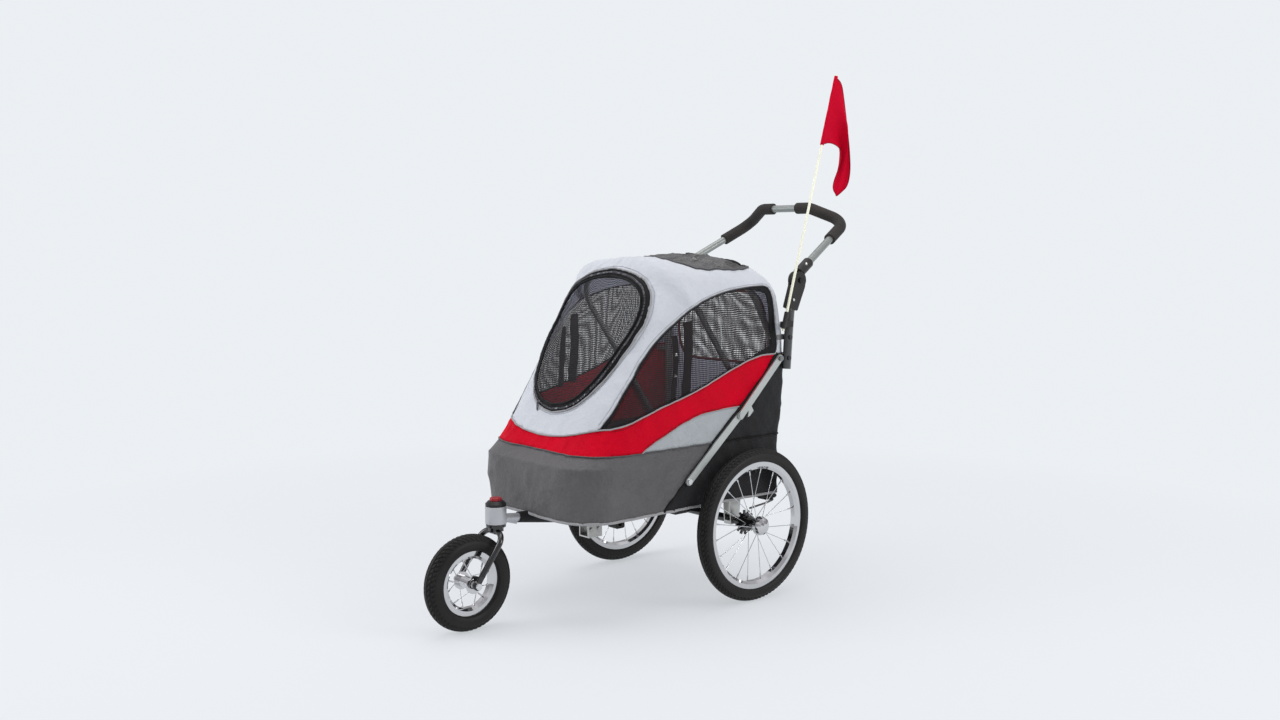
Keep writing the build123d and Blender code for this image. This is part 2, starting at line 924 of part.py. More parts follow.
# ---------------------------------------------------------------- front fork

fork_leg_x = 40.3
fork_bar = bent_tube(
    [
        (-fork_leg_x, front_axle_y, 120),
        (-46, head_y - 6, 235.5),
        (46, head_y - 6, 235.5),
        (fork_leg_x, front_axle_y, 120),
    ],
    30.0,
    7.5,
)

with BuildPart() as fork:
    add(fork_bar)
    # the leg ends are pressed flat for the axle
    for side in (-1, 1):
        with Locations((side * (fork_leg_x + 8.7), front_axle_y, 120)):
            Box(10, 40, 44, mode=Mode.SUBTRACT)
        with Locations((side * (fork_leg_x - 8.7), front_axle_y, 120)):
            Box(10, 40, 44, mode=Mode.SUBTRACT)
    for side in (-1, 1):
        with Locations((side * fork_leg_x, front_axle_y, 120)):
            Cylinder(11, 7.4, rotation=(0, 90, 0))
    # crown disc and bearing ring under the head, stem up through the head
    with Locations((0, head_y, 236)):
        Cylinder(19, 12, align=(Align.CENTER, Align.CENTER, Align.MIN))
    with Locations((0, head_y, 247)):
        Cylinder(25, 6, align=(Align.CENTER, Align.CENTER, Align.MIN))
    with Locations((0, head_y, 240)):
        Cylinder(8, 64, align=(Align.CENTER, Align.CENTER, Align.MIN))
    with Locations((0, front_axle_y, 120)):
        Cylinder(5.02, 120, rotation=(0, 90, 0), mode=Mode.SUBTRACT)

with BuildPart() as fork_axle:
    with Locations((0, front_axle_y, 120)):
        Cylinder(5.0, 104, rotation=(0, 90, 0))
    for side in (-1, 1):
        with Locations((side * 48.1, front_axle_y, 120)):
            Cylinder(8, 8, rotation=(0, 90, 0))
            chamfer(edges().filter_by(GeomType.CIRCLE).group_by(Axis.X)[-1], 0.5)

with BuildPart() as swivel_lock:
    with Locations((0, head_y, 312.4)):
        Cylinder(15, 7, align=(Align.CENTER, Align.CENTER, Align.MIN))
        fillet(edges().group_by(Axis.Z)[-1], 2)
    for number in range(6):
        angle = radians(60 * number)
        with Locations((17.5 * cos(angle), head_y + 17.5 * sin(angle), 312.0)):
            Cylinder(
                4,
                14,
                align=(Align.CENTER, Align.CENTER, Align.MIN),
                mode=Mode.SUBTRACT,
            )
    with Locations((0, head_y, 305.0)):
        Cylinder(8.4, 8, align=(Align.CENTER, Align.CENTER, Align.MIN))

# ---------------------------------------------------------------- wheels


def ring(x, y, z, points):
    """Turn an outline of (radius, offset along the axle) about a wheel axis."""
    with BuildPart() as turned:
        with BuildSketch(Plane(origin=(x, y, z), x_dir=(0, 1, 0), z_dir=(0, 0, 1))):
            with BuildLine():
                Polyline(*[(r, -o) for r, o in points], close=True)
            make_face()
        revolve(axis=Axis((x, y, z), (1, 0, 0)))
    return turned.part


def tyre(x, y, z, radius, section, bead, stem):
    """Round tyre with a narrow foot between the rim flanges and a valve stem."""
    middle = radius - section
    low = bead + 0.8
    half = (section * section - (middle - low) * (middle - low)) ** 0.5
    with BuildPart() as rubber:
        with BuildSketch(Plane(origin=(x, y, z), x_dir=(0, 1, 0), z_dir=(0, 0, 1))):
            with Locations((middle, 0)):
                Circle(section)
            with Locations((bead - 20, 0)):
                Rectangle(40 + 1.6, 80, mode=Mode.SUBTRACT)
            with Locations((bead - 3, 0)):
                Rectangle(12, min(half, 10.0) * 2)
        revolve(axis=Axis((x, y, z), (1, 0, 0)))
        with Locations(
            Plane(origin=(x, y, z + bead - 4), x_dir=(1, 0, 0), z_dir=(0, 0, -1))
        ):
            Cylinder(2.8, stem, align=(Align.CENTER, Align.CENTER, Align.MIN))
    return rubber.part


def rim(x, y, z, bead):
    """Deep channel rim: two flanges and a narrower well."""
    points = [
        (bead, -13.6),
        (bead, -10.3),
        (bead - 9.4, -10.3),
        (bead - 9.4, 10.3),
        (bead, 10.3),
        (bead, 13.6),
        (bead - 12, 13.6),
        (bead - 19, 7),
        (bead - 19, -7),
        (bead - 12, -13.6),
    ]
    body = ring(x, y, z, points)
    with BuildPart() as metal:
        add(body)
        with Locations((x, y, z + bead - 14)):
            Cylinder(3.1, 24, mode=Mode.SUBTRACT)
    return metal.part


def spokes(x, y, z, count, flange_radius, flange_offset, rim_radius, lean):
    """Thin spokes from alternate hub flanges to the rim, each with a nipple."""
    with BuildPart() as wires:
        for number in range(count):
            way = 1 if number % 2 else -1
            turn = radians(360.0 * (number + 0.5) / count)
            skew = radians(lean) * (1 if (number // 2) % 2 else -1)
            start = Vector(
                x + way * flange_offset,
                y + flange_radius * cos(turn - skew),
                z + flange_radius * sin(turn - skew),
            )
            end = Vector(
                x + way * 1.5,
                y + rim_radius * cos(turn),
                z + rim_radius * sin(turn),
            )
            direction = (end - start).normalized()
            length = (end - start).length
            with Locations(Plane(origin=start, z_dir=direction)):
                Cylinder(1.0, length, align=(Align.CENTER, Align.CENTER, Align.MIN))
            with Locations(Plane(origin=start + direction * (length - 13), z_dir=direction)):
                Cylinder(2.0, 12.4, align=(Align.CENTER, Align.CENTER, Align.MIN))
    return wires.part


front_bead = front_wheel_radius - 40
rear_bead = rear_wheel_radius - 34

with BuildPart() as front_tyre:
    add(tyre(0, front_axle_y, 120, 120, front_tyre_section, front_bead, 24))

with BuildPart() as front_rim:
    add(rim(0, front_axle_y, 120, front_bead))

with BuildPart() as front_hub:
    with Locations((0, front_axle_y, 120)):
        Cylinder(15, 60, rotation=(0, 90, 0))
    for side in (-1, 1):
        with Locations((side * 27, front_axle_y, 120)):
            Cylinder(22, 4, rotation=(0, 90, 0))
        with Locations((side * 31.5, front_axle_y, 120)):
            Cylinder(9, 7, rotation=(0, 90, 0))
    with Locations((0, front_axle_y, 120)):
        Cylinder(5.05, 90, rotation=(0, 90, 0), mode=Mode.SUBTRACT)

with BuildPart() as front_spoke_set:
    add(spokes(0, front_axle_y, 120, front_spokes, 22.7, 27, front_bead - 20, 0))


def rear_hub(side):
    with BuildPart() as hub:
        with Locations((side * 267, rear_axle_y, axle_z)):
            Cylinder(13, 46, rotation=(0, 90, 0))
        for at in (260, 290):
            with Locations((side * at, rear_axle_y, axle_z)):
                Cylinder(21, 3.4, rotation=(0, 90, 0))
        # toothed disc for the parking brake
        with BuildSketch(Plane.YZ.offset(side * 241 - 2.5)):
            with Locations((rear_axle_y, axle_z)):
                Circle(25)
                with PolarLocations(28, brake_teeth, start_angle=4):
                    Rectangle(10, 6)
        extrude(amount=5)
        with Locations((side * 243, rear_axle_y, axle_z)):
            Cylinder(16, 8, rotation=(0, 90, 0))
        with Locations((side * 260, rear_axle_y, axle_z)):
            Cylinder(6.05, 90, rotation=(0, 90, 0), mode=Mode.SUBTRACT)
        with Locations((side * 294.5, rear_axle_y, axle_z)):
            Cylinder(14, 8, rotation=(0, 90, 0), mode=Mode.SUBTRACT)
        with Locations((side * 230, rear_axle_y, axle_z)):
            Cylinder(30, 16.8, rotation=(0, 90, 0), mode=Mode.SUBTRACT)
    return hub.part


def hub_cap(side):
    with BuildPart() as cap:
        with BuildSketch(Plane.XY.offset(axle_z)):
            with BuildLine():
                Polyline(
                    (side * 292.2, rear_axle_y + 21.6),
                    (side * 292.2, rear_axle_y + 24.6),
                    (side * 302, rear_axle_y + 24.6),
                    (side * 309, rear_axle_y + 22),
                    (side * 314, rear_axle_y + 16),
                    (side * 316.4, rear_axle_y + 8),
                    (side * 317, rear_axle_y),
                    (side * 314.5, rear_axle_y),
                    (side * 313.9, rear_axle_y + 8),
                    (side * 311.6, rear_axle_y + 14.6),
                    (side * 307.4, rear_axle_y + 19.6),
                    (side * 301.5, rear_axle_y + 21.6),
                    close=True,
                )
            make_face()
        revolve(axis=Axis((0, rear_axle_y, axle_z), (1, 0, 0)))
    return cap.part


save(base_frame, "base_frame")
save(steering_head, "steering_head")
save(spine_sleeve, "spine_sleeve")
save(head_cap, "head_cap")
save(rear_axle, "rear_axle")
save(axle_brackets, "axle_brackets")
save(hinge_plates, "hinge_plates")
save(pivot_bolts, "pivot_bolts")
save(tub, "tub")
save(floor_board, "floor_board")
save(floor_mat, "floor_mat")
save(tow_bracket, "tow_bracket")
save(tow_block, "tow_block")
save(red_band, "red_band")
save(side_panels, "side_panels")
save(rear_cover, "rear_cover")
save(canopy, "canopy")
save(front_mesh, "front_mesh")
save(side_windows, "side_windows")
save(roof_mesh, "roof_mesh")
save(rear_hoop, "rear_hoop")
save(uprights, "uprights")
save(frame_bolts, "frame_bolts")
save(knuckle_bases, "knuckle_bases")
save(handle_bar, "handle_bar")
save(handle_grips, "handle_grips")
save(knuckle_tops, "knuckle_tops")
save(lock_button_right, "lock_button_right")
save(lock_button_left, "lock_button_left")
save(flag_pole, "flag_pole")
save(flag_clip, "flag_clip")
save(flag, "flag")
save(stay_upper_right, "stay_upper_right")
save(stay_upper_left, "stay_upper_left")
save(stay_lower_right, "stay_lower_right")
save(stay_lower_left, "stay_lower_left")
save(front_hoop, "front_hoop")
save(fork, "fork")
save(fork_axle, "fork_axle")
save(swivel_lock, "swivel_lock")
save(front_tyre, "front_tyre")
save(front_rim, "front_rim")
save(front_hub, "front_hub")
save(front_spoke_set, "front_spokes")

for side, name in ((1, "right"), (-1, "left")):
    x = side * half_track
    with BuildPart() as rear_tyre:
        add(tyre(x, rear_axle_y, axle_z, 203, rear_tyre_section, rear_bead, 30))
    with BuildPart() as rear_rim:
        add(rim(x, rear_axle_y, axle_z, rear_bead))
    with BuildPart() as hub:
        add(rear_hub(side))
    with BuildPart() as cap:
        add(hub_cap(side))
    with BuildPart() as rear_spoke_set:
        add(spokes(x, rear_axle_y, axle_z, rear_spokes, 21.4, 13.5, rear_bead - 19.3, 14))
    save(rear_tyre, f"rear_tyre_{name}")
    save(rear_rim, f"rear_rim_{name}")
    save(hub, f"rear_hub_{name}")
    save(cap, f"hub_cap_{name}")
    save(rear_spoke_set, f"rear_spokes_{name}")

# ---------------------------------------------------------------- parking brake

brake_bar_path = bent_tube(
    [
        (-241, 203, 238),
        (-241, 268, 244),
        (-241, 300, 250),
        (241, 300, 250),
        (241, 268, 244),
        (241, 203, 238),
    ],
    12.0,
    2.6,
)

with BuildPart() as brake_bar:
    add(brake_bar_path)
    with Locations((0, 300, 250)):
        Cylinder(6, 452, rotation=(0, 90, 0))

with BuildPart() as brake_pedal:
    for side in (-1, 1):
        with BuildSketch(Plane.YZ.offset(side * 200 - 16)):
            with BuildLine():
                Polyline(
                    (294, 243.6),
                    (330, 246),
                    (336, 250),
                    (334, 256),
                    (308, 259),
                    (294, 257),
                    close=True,
                )
            make_face()
        extrude(amount=32)
        with Locations((side * 200, 300, 250)):
            Cylinder(6.02, 60, rotation=(0, 90, 0), mode=Mode.SUBTRACT)

save(brake_bar, "brake_bar")
save(brake_pedal, "brake_pedal")
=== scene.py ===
import bpy
import bmesh
import math
import numpy as np
from mathutils import Euler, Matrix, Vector, noise
from mathutils.bvhtree import BVHTree


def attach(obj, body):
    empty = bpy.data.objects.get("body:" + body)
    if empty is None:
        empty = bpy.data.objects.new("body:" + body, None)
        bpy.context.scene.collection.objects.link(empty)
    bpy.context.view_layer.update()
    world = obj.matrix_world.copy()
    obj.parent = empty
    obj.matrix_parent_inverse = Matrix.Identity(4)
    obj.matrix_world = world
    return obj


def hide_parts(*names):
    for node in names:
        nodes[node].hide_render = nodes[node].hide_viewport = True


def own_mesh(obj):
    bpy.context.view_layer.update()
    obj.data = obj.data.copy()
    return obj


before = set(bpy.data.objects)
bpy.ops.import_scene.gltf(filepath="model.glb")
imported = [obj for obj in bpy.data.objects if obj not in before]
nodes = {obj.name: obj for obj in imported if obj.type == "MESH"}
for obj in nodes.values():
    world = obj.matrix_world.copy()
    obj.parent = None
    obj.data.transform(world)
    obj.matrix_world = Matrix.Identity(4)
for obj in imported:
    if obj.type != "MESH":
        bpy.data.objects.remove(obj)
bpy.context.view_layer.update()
scene = bpy.context.scene
scene.view_settings.view_transform = "Standard"

# ------------------------------------------------------------------ camera

camera = bpy.data.objects.new("camera", bpy.data.cameras.new("camera"))
scene.collection.objects.link(camera)
camera.location = (2.46811, -2.12558, 0.94540)
camera.rotation_euler = Euler((math.radians(90 - 5.491), 0, math.radians(48.96)))
camera.data.lens = 34.23
camera.data.sensor_width = 36
scene.camera = camera

# ------------------------------------------------------------------ material kit


def add(tree, kind, inputs=None, **settings):
    """A shader node with its settings and inputs; an input may be another node's output."""
    made = tree.nodes.new("ShaderNode" + kind)
    for key, value in settings.items():
        setattr(made, key, value)
    for key, value in (inputs or {}).items():
        if isinstance(value, bpy.types.NodeSocket):
            tree.links.new(value, made.inputs[key])
        else:
            made.inputs[key].default_value = value
    return made


def calc(tree, how, a, b=0.0, c=0.0):
    made = add(tree, "Math", operation=how)
    for slot, value in enumerate((a, b, c)):
        if isinstance(value, bpy.types.NodeSocket):
            tree.links.new(value, made.inputs[slot])
        else:
            made.inputs[slot].default_value = value
    return made.outputs[0]


def blend_colour(tree, share, a, b):
    made = add(tree, "MixRGB", {"Fac": share})
    for slot, value in (("Color1", a), ("Color2", b)):
        if isinstance(value, bpy.types.NodeSocket):
            tree.links.new(value, made.inputs[slot])
        else:
            made.inputs[slot].default_value = (*value, 1)
    return made.outputs[0]


def start(name, **fixed):
    """A new material with a Principled shader; fixed values go straight on its sockets."""
    made = bpy.data.materials.new(name)
    made.use_nodes = True
    tree = made.node_tree
    shader = tree.nodes["Principled BSDF"]
    for key, value in fixed.items():
        shader.inputs[key.replace("_", " ")].default_value = value
    return made, tree, shader


def noise_of(tree, vector, scale, detail=3.0, rough=0.5):
    made = add(
        tree,
        "TexNoise",
        {"Vector": vector, "Scale": scale, "Detail": detail, "Roughness": rough},
    )
    return made.outputs["Fac"]


def remap(tree, value, low, high, to_low=0.0, to_high=1.0):
    made = add(
        tree,
        "MapRange",
        {
            "Value": value,
            "From Min": low,
            "From Max": high,
            "To Min": to_low,
            "To Max": to_high,
        },
    )
    return made.outputs[0]


def shade(colour, factor):
    return tuple(min(1.0, c * factor) for c in colour)


def bumped(tree, shader, *layers):
    """Chain of bumps: each layer is (height, distance, strength)."""
    last = None
    for height, distance, strength in layers:
        made = add(
            tree, "Bump", {"Height": height, "Distance": distance, "Strength": strength}
        )
        if last:
            tree.links.new(last, made.inputs["Normal"])
        last = made.outputs[0]
    tree.links.new(last, shader.inputs["Normal"])


def cloth(
    name, colour, spread=0.10, pitch=0.0011, rough=0.72, sheen=0.25, crease=0.8, gloss=0.14
):
    """Woven polyester: plain weave from the UV in metres, slub, soft creases and a light sheen."""
    made, tree, shader = start(
        name, Sheen_Weight=sheen, Sheen_Roughness=0.45, Specular_IOR_Level=gloss
    )
    place = add(tree, "TexCoord")
    split = add(tree, "SeparateXYZ", {"Vector": place.outputs["UV"]})
    turn = 2 * math.pi / pitch
    warp = calc(tree, "SINE", calc(tree, "MULTIPLY", split.outputs[0], turn))
    weft = calc(tree, "SINE", calc(tree, "MULTIPLY", split.outputs[1], turn))
    weave = calc(tree, "MULTIPLY", warp, weft)
    body = place.outputs["Object"]
    cloud = noise_of(tree, body, 7.0, 4.0, 0.6)
    slub = noise_of(
        tree,
        add(
            tree, "Mapping", {"Vector": place.outputs["UV"], "Scale": (40, 900, 1)}
        ).outputs[0],
        1.0,
        2.0,
    )
    tone = calc(
        tree,
        "ADD",
        calc(tree, "MULTIPLY", cloud, 0.75),
        calc(tree, "MULTIPLY", slub, 0.25),
    )
    mixed = blend_colour(
        tree,
        remap(tree, tone, 0.36, 0.64),
        shade(colour, 1 - spread),
        shade(colour, 1 + spread),
    )
    dark = blend_colour(
        tree, remap(tree, weave, -1, 1, 0.0, 1.0), shade(colour, 0.82), colour
    )
    both = blend_colour(tree, 0.3, mixed, dark)
    tree.links.new(both, shader.inputs["Base Color"])
    tree.links.new(
        remap(tree, cloud, 0.3, 0.7, rough - 0.07, rough + 0.07),
        shader.inputs["Roughness"],
    )
    wrinkle = noise_of(tree, body, 22.0, 5.0, 0.55)
    fine = noise_of(tree, body, 95.0, 3.0, 0.5)
    bumped(
        tree,
        shader,
        (wrinkle, 0.006 * crease, 0.55),
        (fine, 0.0011 * crease, 0.5),
        (weave, 0.00018, 0.5),
    )
    return made


def netting(
    name,
    colour,
    pitch=0.0034,
    thread=0.30,
    rough=0.6,
    film=0.0,
    crumple=1.0,
    gloss=0.12,
    painted_shade_from_y=None,
    painted_highlight=None,
):
    """Open net: crossed threads are solid and the holes between them are clear."""
    made, tree, shader = start(name, Roughness=rough, Specular_IOR_Level=gloss)
    place = add(tree, "TexCoord")
    split = add(tree, "SeparateXYZ", {"Vector": place.outputs["UV"]})
    lines = []
    for axis, shift in ((0, 0.0), (1, 0.5)):
        wave = calc(tree, "DIVIDE", split.outputs[axis], pitch)
        ramp = calc(tree, "PINGPONG", calc(tree, "ADD", wave, shift), 1.0)
        lines.append(remap(tree, ramp, thread * 1.25, thread * 0.75))
    mesh = calc(tree, "MAXIMUM", lines[0], lines[1])
    wear = noise_of(tree, place.outputs["Object"], 9.0, 3.0)
    tone = blend_colour(tree, remap(tree, wear, 0.35, 0.65), shade(colour, 0.7), colour)
    # Painted highlight: blots of the lighter second colour stand in for gloss reflections on the crumpled film.
    if painted_highlight:
        highlight_blots = noise_of(tree, place.outputs["Object"], 38.0, 6.0, 0.7)
        tone = blend_colour(tree, remap(tree, highlight_blots, 0.40, 0.68), tone, painted_highlight)
    tree.links.new(tone, shader.inputs["Base Color"])
    covered = calc(tree, "MAXIMUM", mesh, film)
    # Painted shade: ahead of this depth the net gets extra dark cover, standing for the dim cabin seen through it.
    if painted_shade_from_y:
        depth = add(tree, "SeparateXYZ", {"Vector": place.outputs["Object"]}).outputs[1]
        covered = calc(
            tree, "MAXIMUM", covered, remap(tree, depth, painted_shade_from_y, painted_shade_from_y - 0.003, 0.0, 0.42)
        )
    tree.links.new(covered, shader.inputs["Alpha"])
    puff = noise_of(tree, place.outputs["Object"], 26.0, 3.0)
    bumped(tree, shader, (puff, 0.004 * crumple, 0.5), (mesh, 0.0004, 0.5))
    return made


def moulded(
    name, colour, rough=0.5, grain=260.0, depth=0.0003, spread=0.08, coat=0.0, gloss=0.3
):
    """Moulded plastic, foam or rubber: fine grain, faint tone changes and dusty wear."""
    made, tree, shader = start(
        name, Coat_Weight=coat, Coat_Roughness=0.15, Specular_IOR_Level=gloss
    )
    body = add(tree, "TexCoord").outputs["Object"]
    cloud = noise_of(tree, body, 14.0, 5.0, 0.6)
    fine = noise_of(tree, body, grain, 2.0)
    tree.links.new(
        blend_colour(
            tree,
            remap(tree, cloud, 0.35, 0.68),
            shade(colour, 1 - spread),
            shade(colour, 1 + 2 * spread),
        ),
        shader.inputs["Base Color"],
    )
    tree.links.new(
        remap(tree, cloud, 0.3, 0.7, rough - 0.08, rough + 0.1),
        shader.inputs["Roughness"],
    )
    bumped(tree, shader, (fine, depth, 0.5))
    return made


def metal(
    name, colour, rough=0.3, metallic=1.0, brushed=0.0, spread=0.06, smear=0.08, coat=0.0
):
    """Painted, plated or brushed metal with smears in its gloss and faint scratches."""
    made, tree, shader = start(
        name, Metallic=metallic, Coat_Weight=coat, Coat_Roughness=0.08
    )
    body = add(tree, "TexCoord").outputs["Object"]
    cloud = noise_of(tree, body, 9.0, 5.0, 0.65)
    speck = noise_of(tree, body, 420.0, 2.0)
    lines = noise_of(
        tree,
        add(tree, "Mapping", {"Vector": body, "Scale": (30, 30, 900)}).outputs[0],
        1.0,
        2.0,
    )
    tree.links.new(
        blend_colour(
            tree,
            remap(tree, cloud, 0.35, 0.65),
            shade(colour, 1 - spread),
            shade(colour, 1 + spread),
        ),
        shader.inputs["Base Color"],
    )
    tree.links.new(
        remap(
            tree, cloud, 0.35, 0.7, max(0.02, rough - smear * 0.5), rough + smear
        ),
        shader.inputs["Roughness"],
    )
    bumped(
        tree,
        shader,
        (speck, 0.00004, 0.25),
        (lines, 0.00005, 0.1 + brushed),
    )
    return made


m_canopy = cloth("canopy_cloth", (0.60, 0.62, 0.665), 0.045, sheen=0.1, crease=2.0)
m_red = cloth(
    "red_cloth", (0.60, 0.001, 0.017), 0.14, rough=0.6, sheen=0.0, crease=2.2, gloss=0.05
)
m_tub = cloth(
    "dark_grey_cloth", (0.104, 0.100, 0.103), 0.13, rough=0.45, sheen=0.08, crease=2.4, gloss=0.3
)
m_panel = cloth("light_grey_cloth", (0.40, 0.43, 0.45), 0.09, rough=0.5, crease=2.6, gloss=0.3)
m_black = cloth("black_cloth", (0.017, 0.017, 0.018), 0.2, rough=0.55, sheen=0.04, crease=1.8)
m_lining = cloth("lining_blue_grey", (0.34, 0.36, 0.44), 0.08)
m_lining_red = cloth("lining_dark_red", (0.34, 0.006, 0.018), 0.25)
m_lining_dark = cloth("lining_black", (0.022, 0.022, 0.025), 0.1)
m_piping = cloth("piping_grey", (0.33, 0.33, 0.34), 0.05, 0.0007, 0.6)
m_piping_dark = cloth("piping_dark", (0.075, 0.075, 0.08), 0.05, 0.0007, 0.6)
m_piping_red = cloth("piping_brown_red", (0.07, 0.012, 0.014), 0.05, 0.0007, 0.6)
m_tape = cloth("zip_tape_black", (0.010, 0.010, 0.011), 0.15, 0.0008, 0.5, 0.03, 1.8)
m_net = netting("net_black", (0.028, 0.025, 0.027), 0.0026, 0.40)
# the side net's front part is darkened: painted shade for the dark inside seen through the window
m_net_side = netting("net_side", (0.026, 0.021, 0.023), 0.0026, 0.38, painted_shade_from_y=-0.063)
m_net_front = netting("net_front", (0.022, 0.020, 0.023), 0.0024, 0.46)
# the roof net's last colour is a painted highlight for its glossy crumpled film
m_net_roof = netting("net_roof", (0.012, 0.011, 0.011), 0.0028, 0.42, 0.18, 0.95, 5.0, 0.9, None, (0.075, 0.074, 0.072))
m_zip = metal("zip_teeth", (0.10, 0.10, 0.11), 0.25)
m_chrome = metal("chrome", (0.60, 0.60, 0.61), 0.07, smear=0.05, spread=0.03)
m_steel = metal("spoke_steel", (0.66, 0.67, 0.68), 0.16)
m_zinc = metal("zinc_plate", (0.55, 0.55, 0.53), 0.33, brushed=0.2, spread=0.12)
m_silver = metal("silver_paint", (0.50, 0.52, 0.51), 0.36, 0.75, spread=0.05)
m_handle = metal("handle_grey_paint", (0.27, 0.29, 0.28), 0.34, 0.55, spread=0.05)
m_head = metal("head_grey_paint", (0.50, 0.51, 0.53), 0.38, 0.6, spread=0.05)
m_hoop = metal("hoop_grey_paint", (0.20, 0.21, 0.21), 0.4, 0.5)
m_gloss_black = metal("gloss_black_paint", (0.006, 0.006, 0.007), 0.16, 0.0, coat=0.5)
m_powder = metal("black_powder_coat", (0.02, 0.02, 0.022), 0.42, 0.0, spread=0.15)
m_plastic = moulded("black_nylon", (0.022, 0.020, 0.019), 0.42)
m_gloss_plastic = moulded("gloss_plastic", (0.014, 0.014, 0.015), 0.2, 300, 0.0001)
m_knob = moulded("red_knob", (0.30, 0.006, 0.014), 0.3, 300, 0.0001, coat=0.3)
m_foam = moulded("foam_grip", (0.030, 0.027, 0.025), 0.82, 520, 0.0012, 0.22)
m_pole = moulded("glass_fibre_pole", (0.86, 0.85, 0.70), 0.3, 400, 0.0001, 0.03)
m_board = moulded("floor_board", (0.03, 0.03, 0.03), 0.7)
m_brake = metal("brake_steel", (0.12, 0.12, 0.12), 0.3)
m_upright = metal("upright_black_oxide", (0.035, 0.036, 0.037), 0.16, 0.3, coat=0.7)
m_rubber = moulded("tyre_rubber", (0.014, 0.013, 0.0125), 0.5, 700, 0.0002, 0.2, gloss=0.22)
m_mat = cloth("mat_black_quilt", (0.022, 0.022, 0.024), 0.15, 0.0012, 0.7, 0.1, 1.0)
m_strap = cloth("webbing_black", (0.012, 0.012, 0.013), 0.1, 0.0016, 0.5, 0.05, 0.5)
m_thread = cloth("thread_grey", (0.30, 0.31, 0.33), 0.05, 0.0006, 0.6, 0.0, 0.3)
m_thread_dark = cloth("thread_black", (0.02, 0.02, 0.02), 0.05, 0.0006, 0.6, 0.0, 0.3)
m_snap = metal("snap_nickel", (0.62, 0.62, 0.60), 0.22)
m_flag = cloth("flag_cloth", (0.56, 0.001, 0.022), 0.08, 0.0009, 0.65, 0.0, 0.8, 0.05)
m_flag_hem = cloth("flag_hem_thread", (0.26, 0.002, 0.016), 0.05, 0.0009, 0.65, 0.0, 0.3)

looks = {
    "base_frame": m_powder,
    "steering_head": m_head,
    "spine_sleeve": m_black,
    "head_cap": m_gloss_plastic,
    "rear_axle": m_gloss_black,
    "axle_brackets": m_zinc,
    "hinge_plates": m_zinc,
    "pivot_bolts": m_steel,
    "floor_board": m_board,
    "tow_bracket": m_zinc,
    "tow_block": m_plastic,
    "rear_hoop": m_hoop,
    "uprights": m_upright,
    "frame_bolts": m_powder,
    "knuckle_bases": m_plastic,
    "handle_bar": m_handle,
    "handle_grips": m_foam,
    "knuckle_tops": m_plastic,
    "lock_button_right": m_gloss_plastic,
    "lock_button_left": m_gloss_plastic,
    "flag_pole": m_pole,
    "flag_clip": m_plastic,
    "stay_upper_right": m_silver,
    "stay_upper_left": m_silver,
    "stay_lower_right": m_silver,
    "stay_lower_left": m_silver,
    "front_hoop": m_hoop,
    "fork": m_gloss_black,
    "fork_axle": m_steel,
    "swivel_lock": m_knob,
    "front_rim": m_chrome,
    "front_hub": m_chrome,
    "front_spokes": m_steel,
    "brake_bar": m_brake,
    "brake_pedal": m_plastic,
}
for side in ("right", "left"):
    looks[f"rear_rim_{side}"] = m_chrome
    looks[f"rear_hub_{side}"] = m_gloss_black
    looks[f"hub_cap_{side}"] = m_chrome
    looks[f"rear_spokes_{side}"] = m_steel
for name, look in looks.items():
    data = nodes[name].data
    data.materials.clear()
    data.materials.append(look)

# ------------------------------------------------------------------ mesh kit


def build(name, verts, faces, looks_used, uv=None, face_look=None, smooth=True):
    data = bpy.data.meshes.new(name)
    data.from_pydata([tuple(map(float, v)) for v in verts], [], [tuple(f) for f in faces])
    for look in looks_used:
        data.materials.append(look)
    if face_look is not None:
        data.polygons.foreach_set("material_index", face_look)
    data.polygons.foreach_set("use_smooth", [smooth] * len(data.polygons))
    if uv is not None:
        layer = data.uv_layers.new(name="UVMap")
        index = np.zeros(len(data.loops), np.int32)
        data.loops.foreach_get("vertex_index", index)
        layer.data.foreach_set("uv", np.asarray(uv, np.float32)[index].ravel())
    data.validate()
    data.update()
    made = bpy.data.objects.new(name, data)
    scene.collection.objects.link(made)
    return made


def along(points, step, closed=False):
    """The same line with evenly spaced points."""
    p = np.asarray(points, float)
    if closed:
        p = np.vstack([p, p[:1]])
    gaps = np.linalg.norm(np.diff(p, axis=0), axis=1)
    dist = np.concatenate([[0], np.cumsum(gaps)])
    count = max(2, int(round(dist[-1] / step)) + 1)
    at = np.linspace(0, dist[-1], count)
    out = np.column_stack([np.interp(at, dist, p[:, k]) for k in range(p.shape[1])])
    return out[:-1] if closed else out


def eased(points, rounds=2, closed=False):
    """The line with its small kinks averaged out."""
    p = np.asarray(points, float).copy()
    for _ in range(rounds):
        before, after = np.roll(p, 1, 0), np.roll(p, -1, 0)
        q = (before + 2 * p + after) / 4
        if not closed:
            q[0], q[-1] = p[0], p[-1]
        p = q
    return p


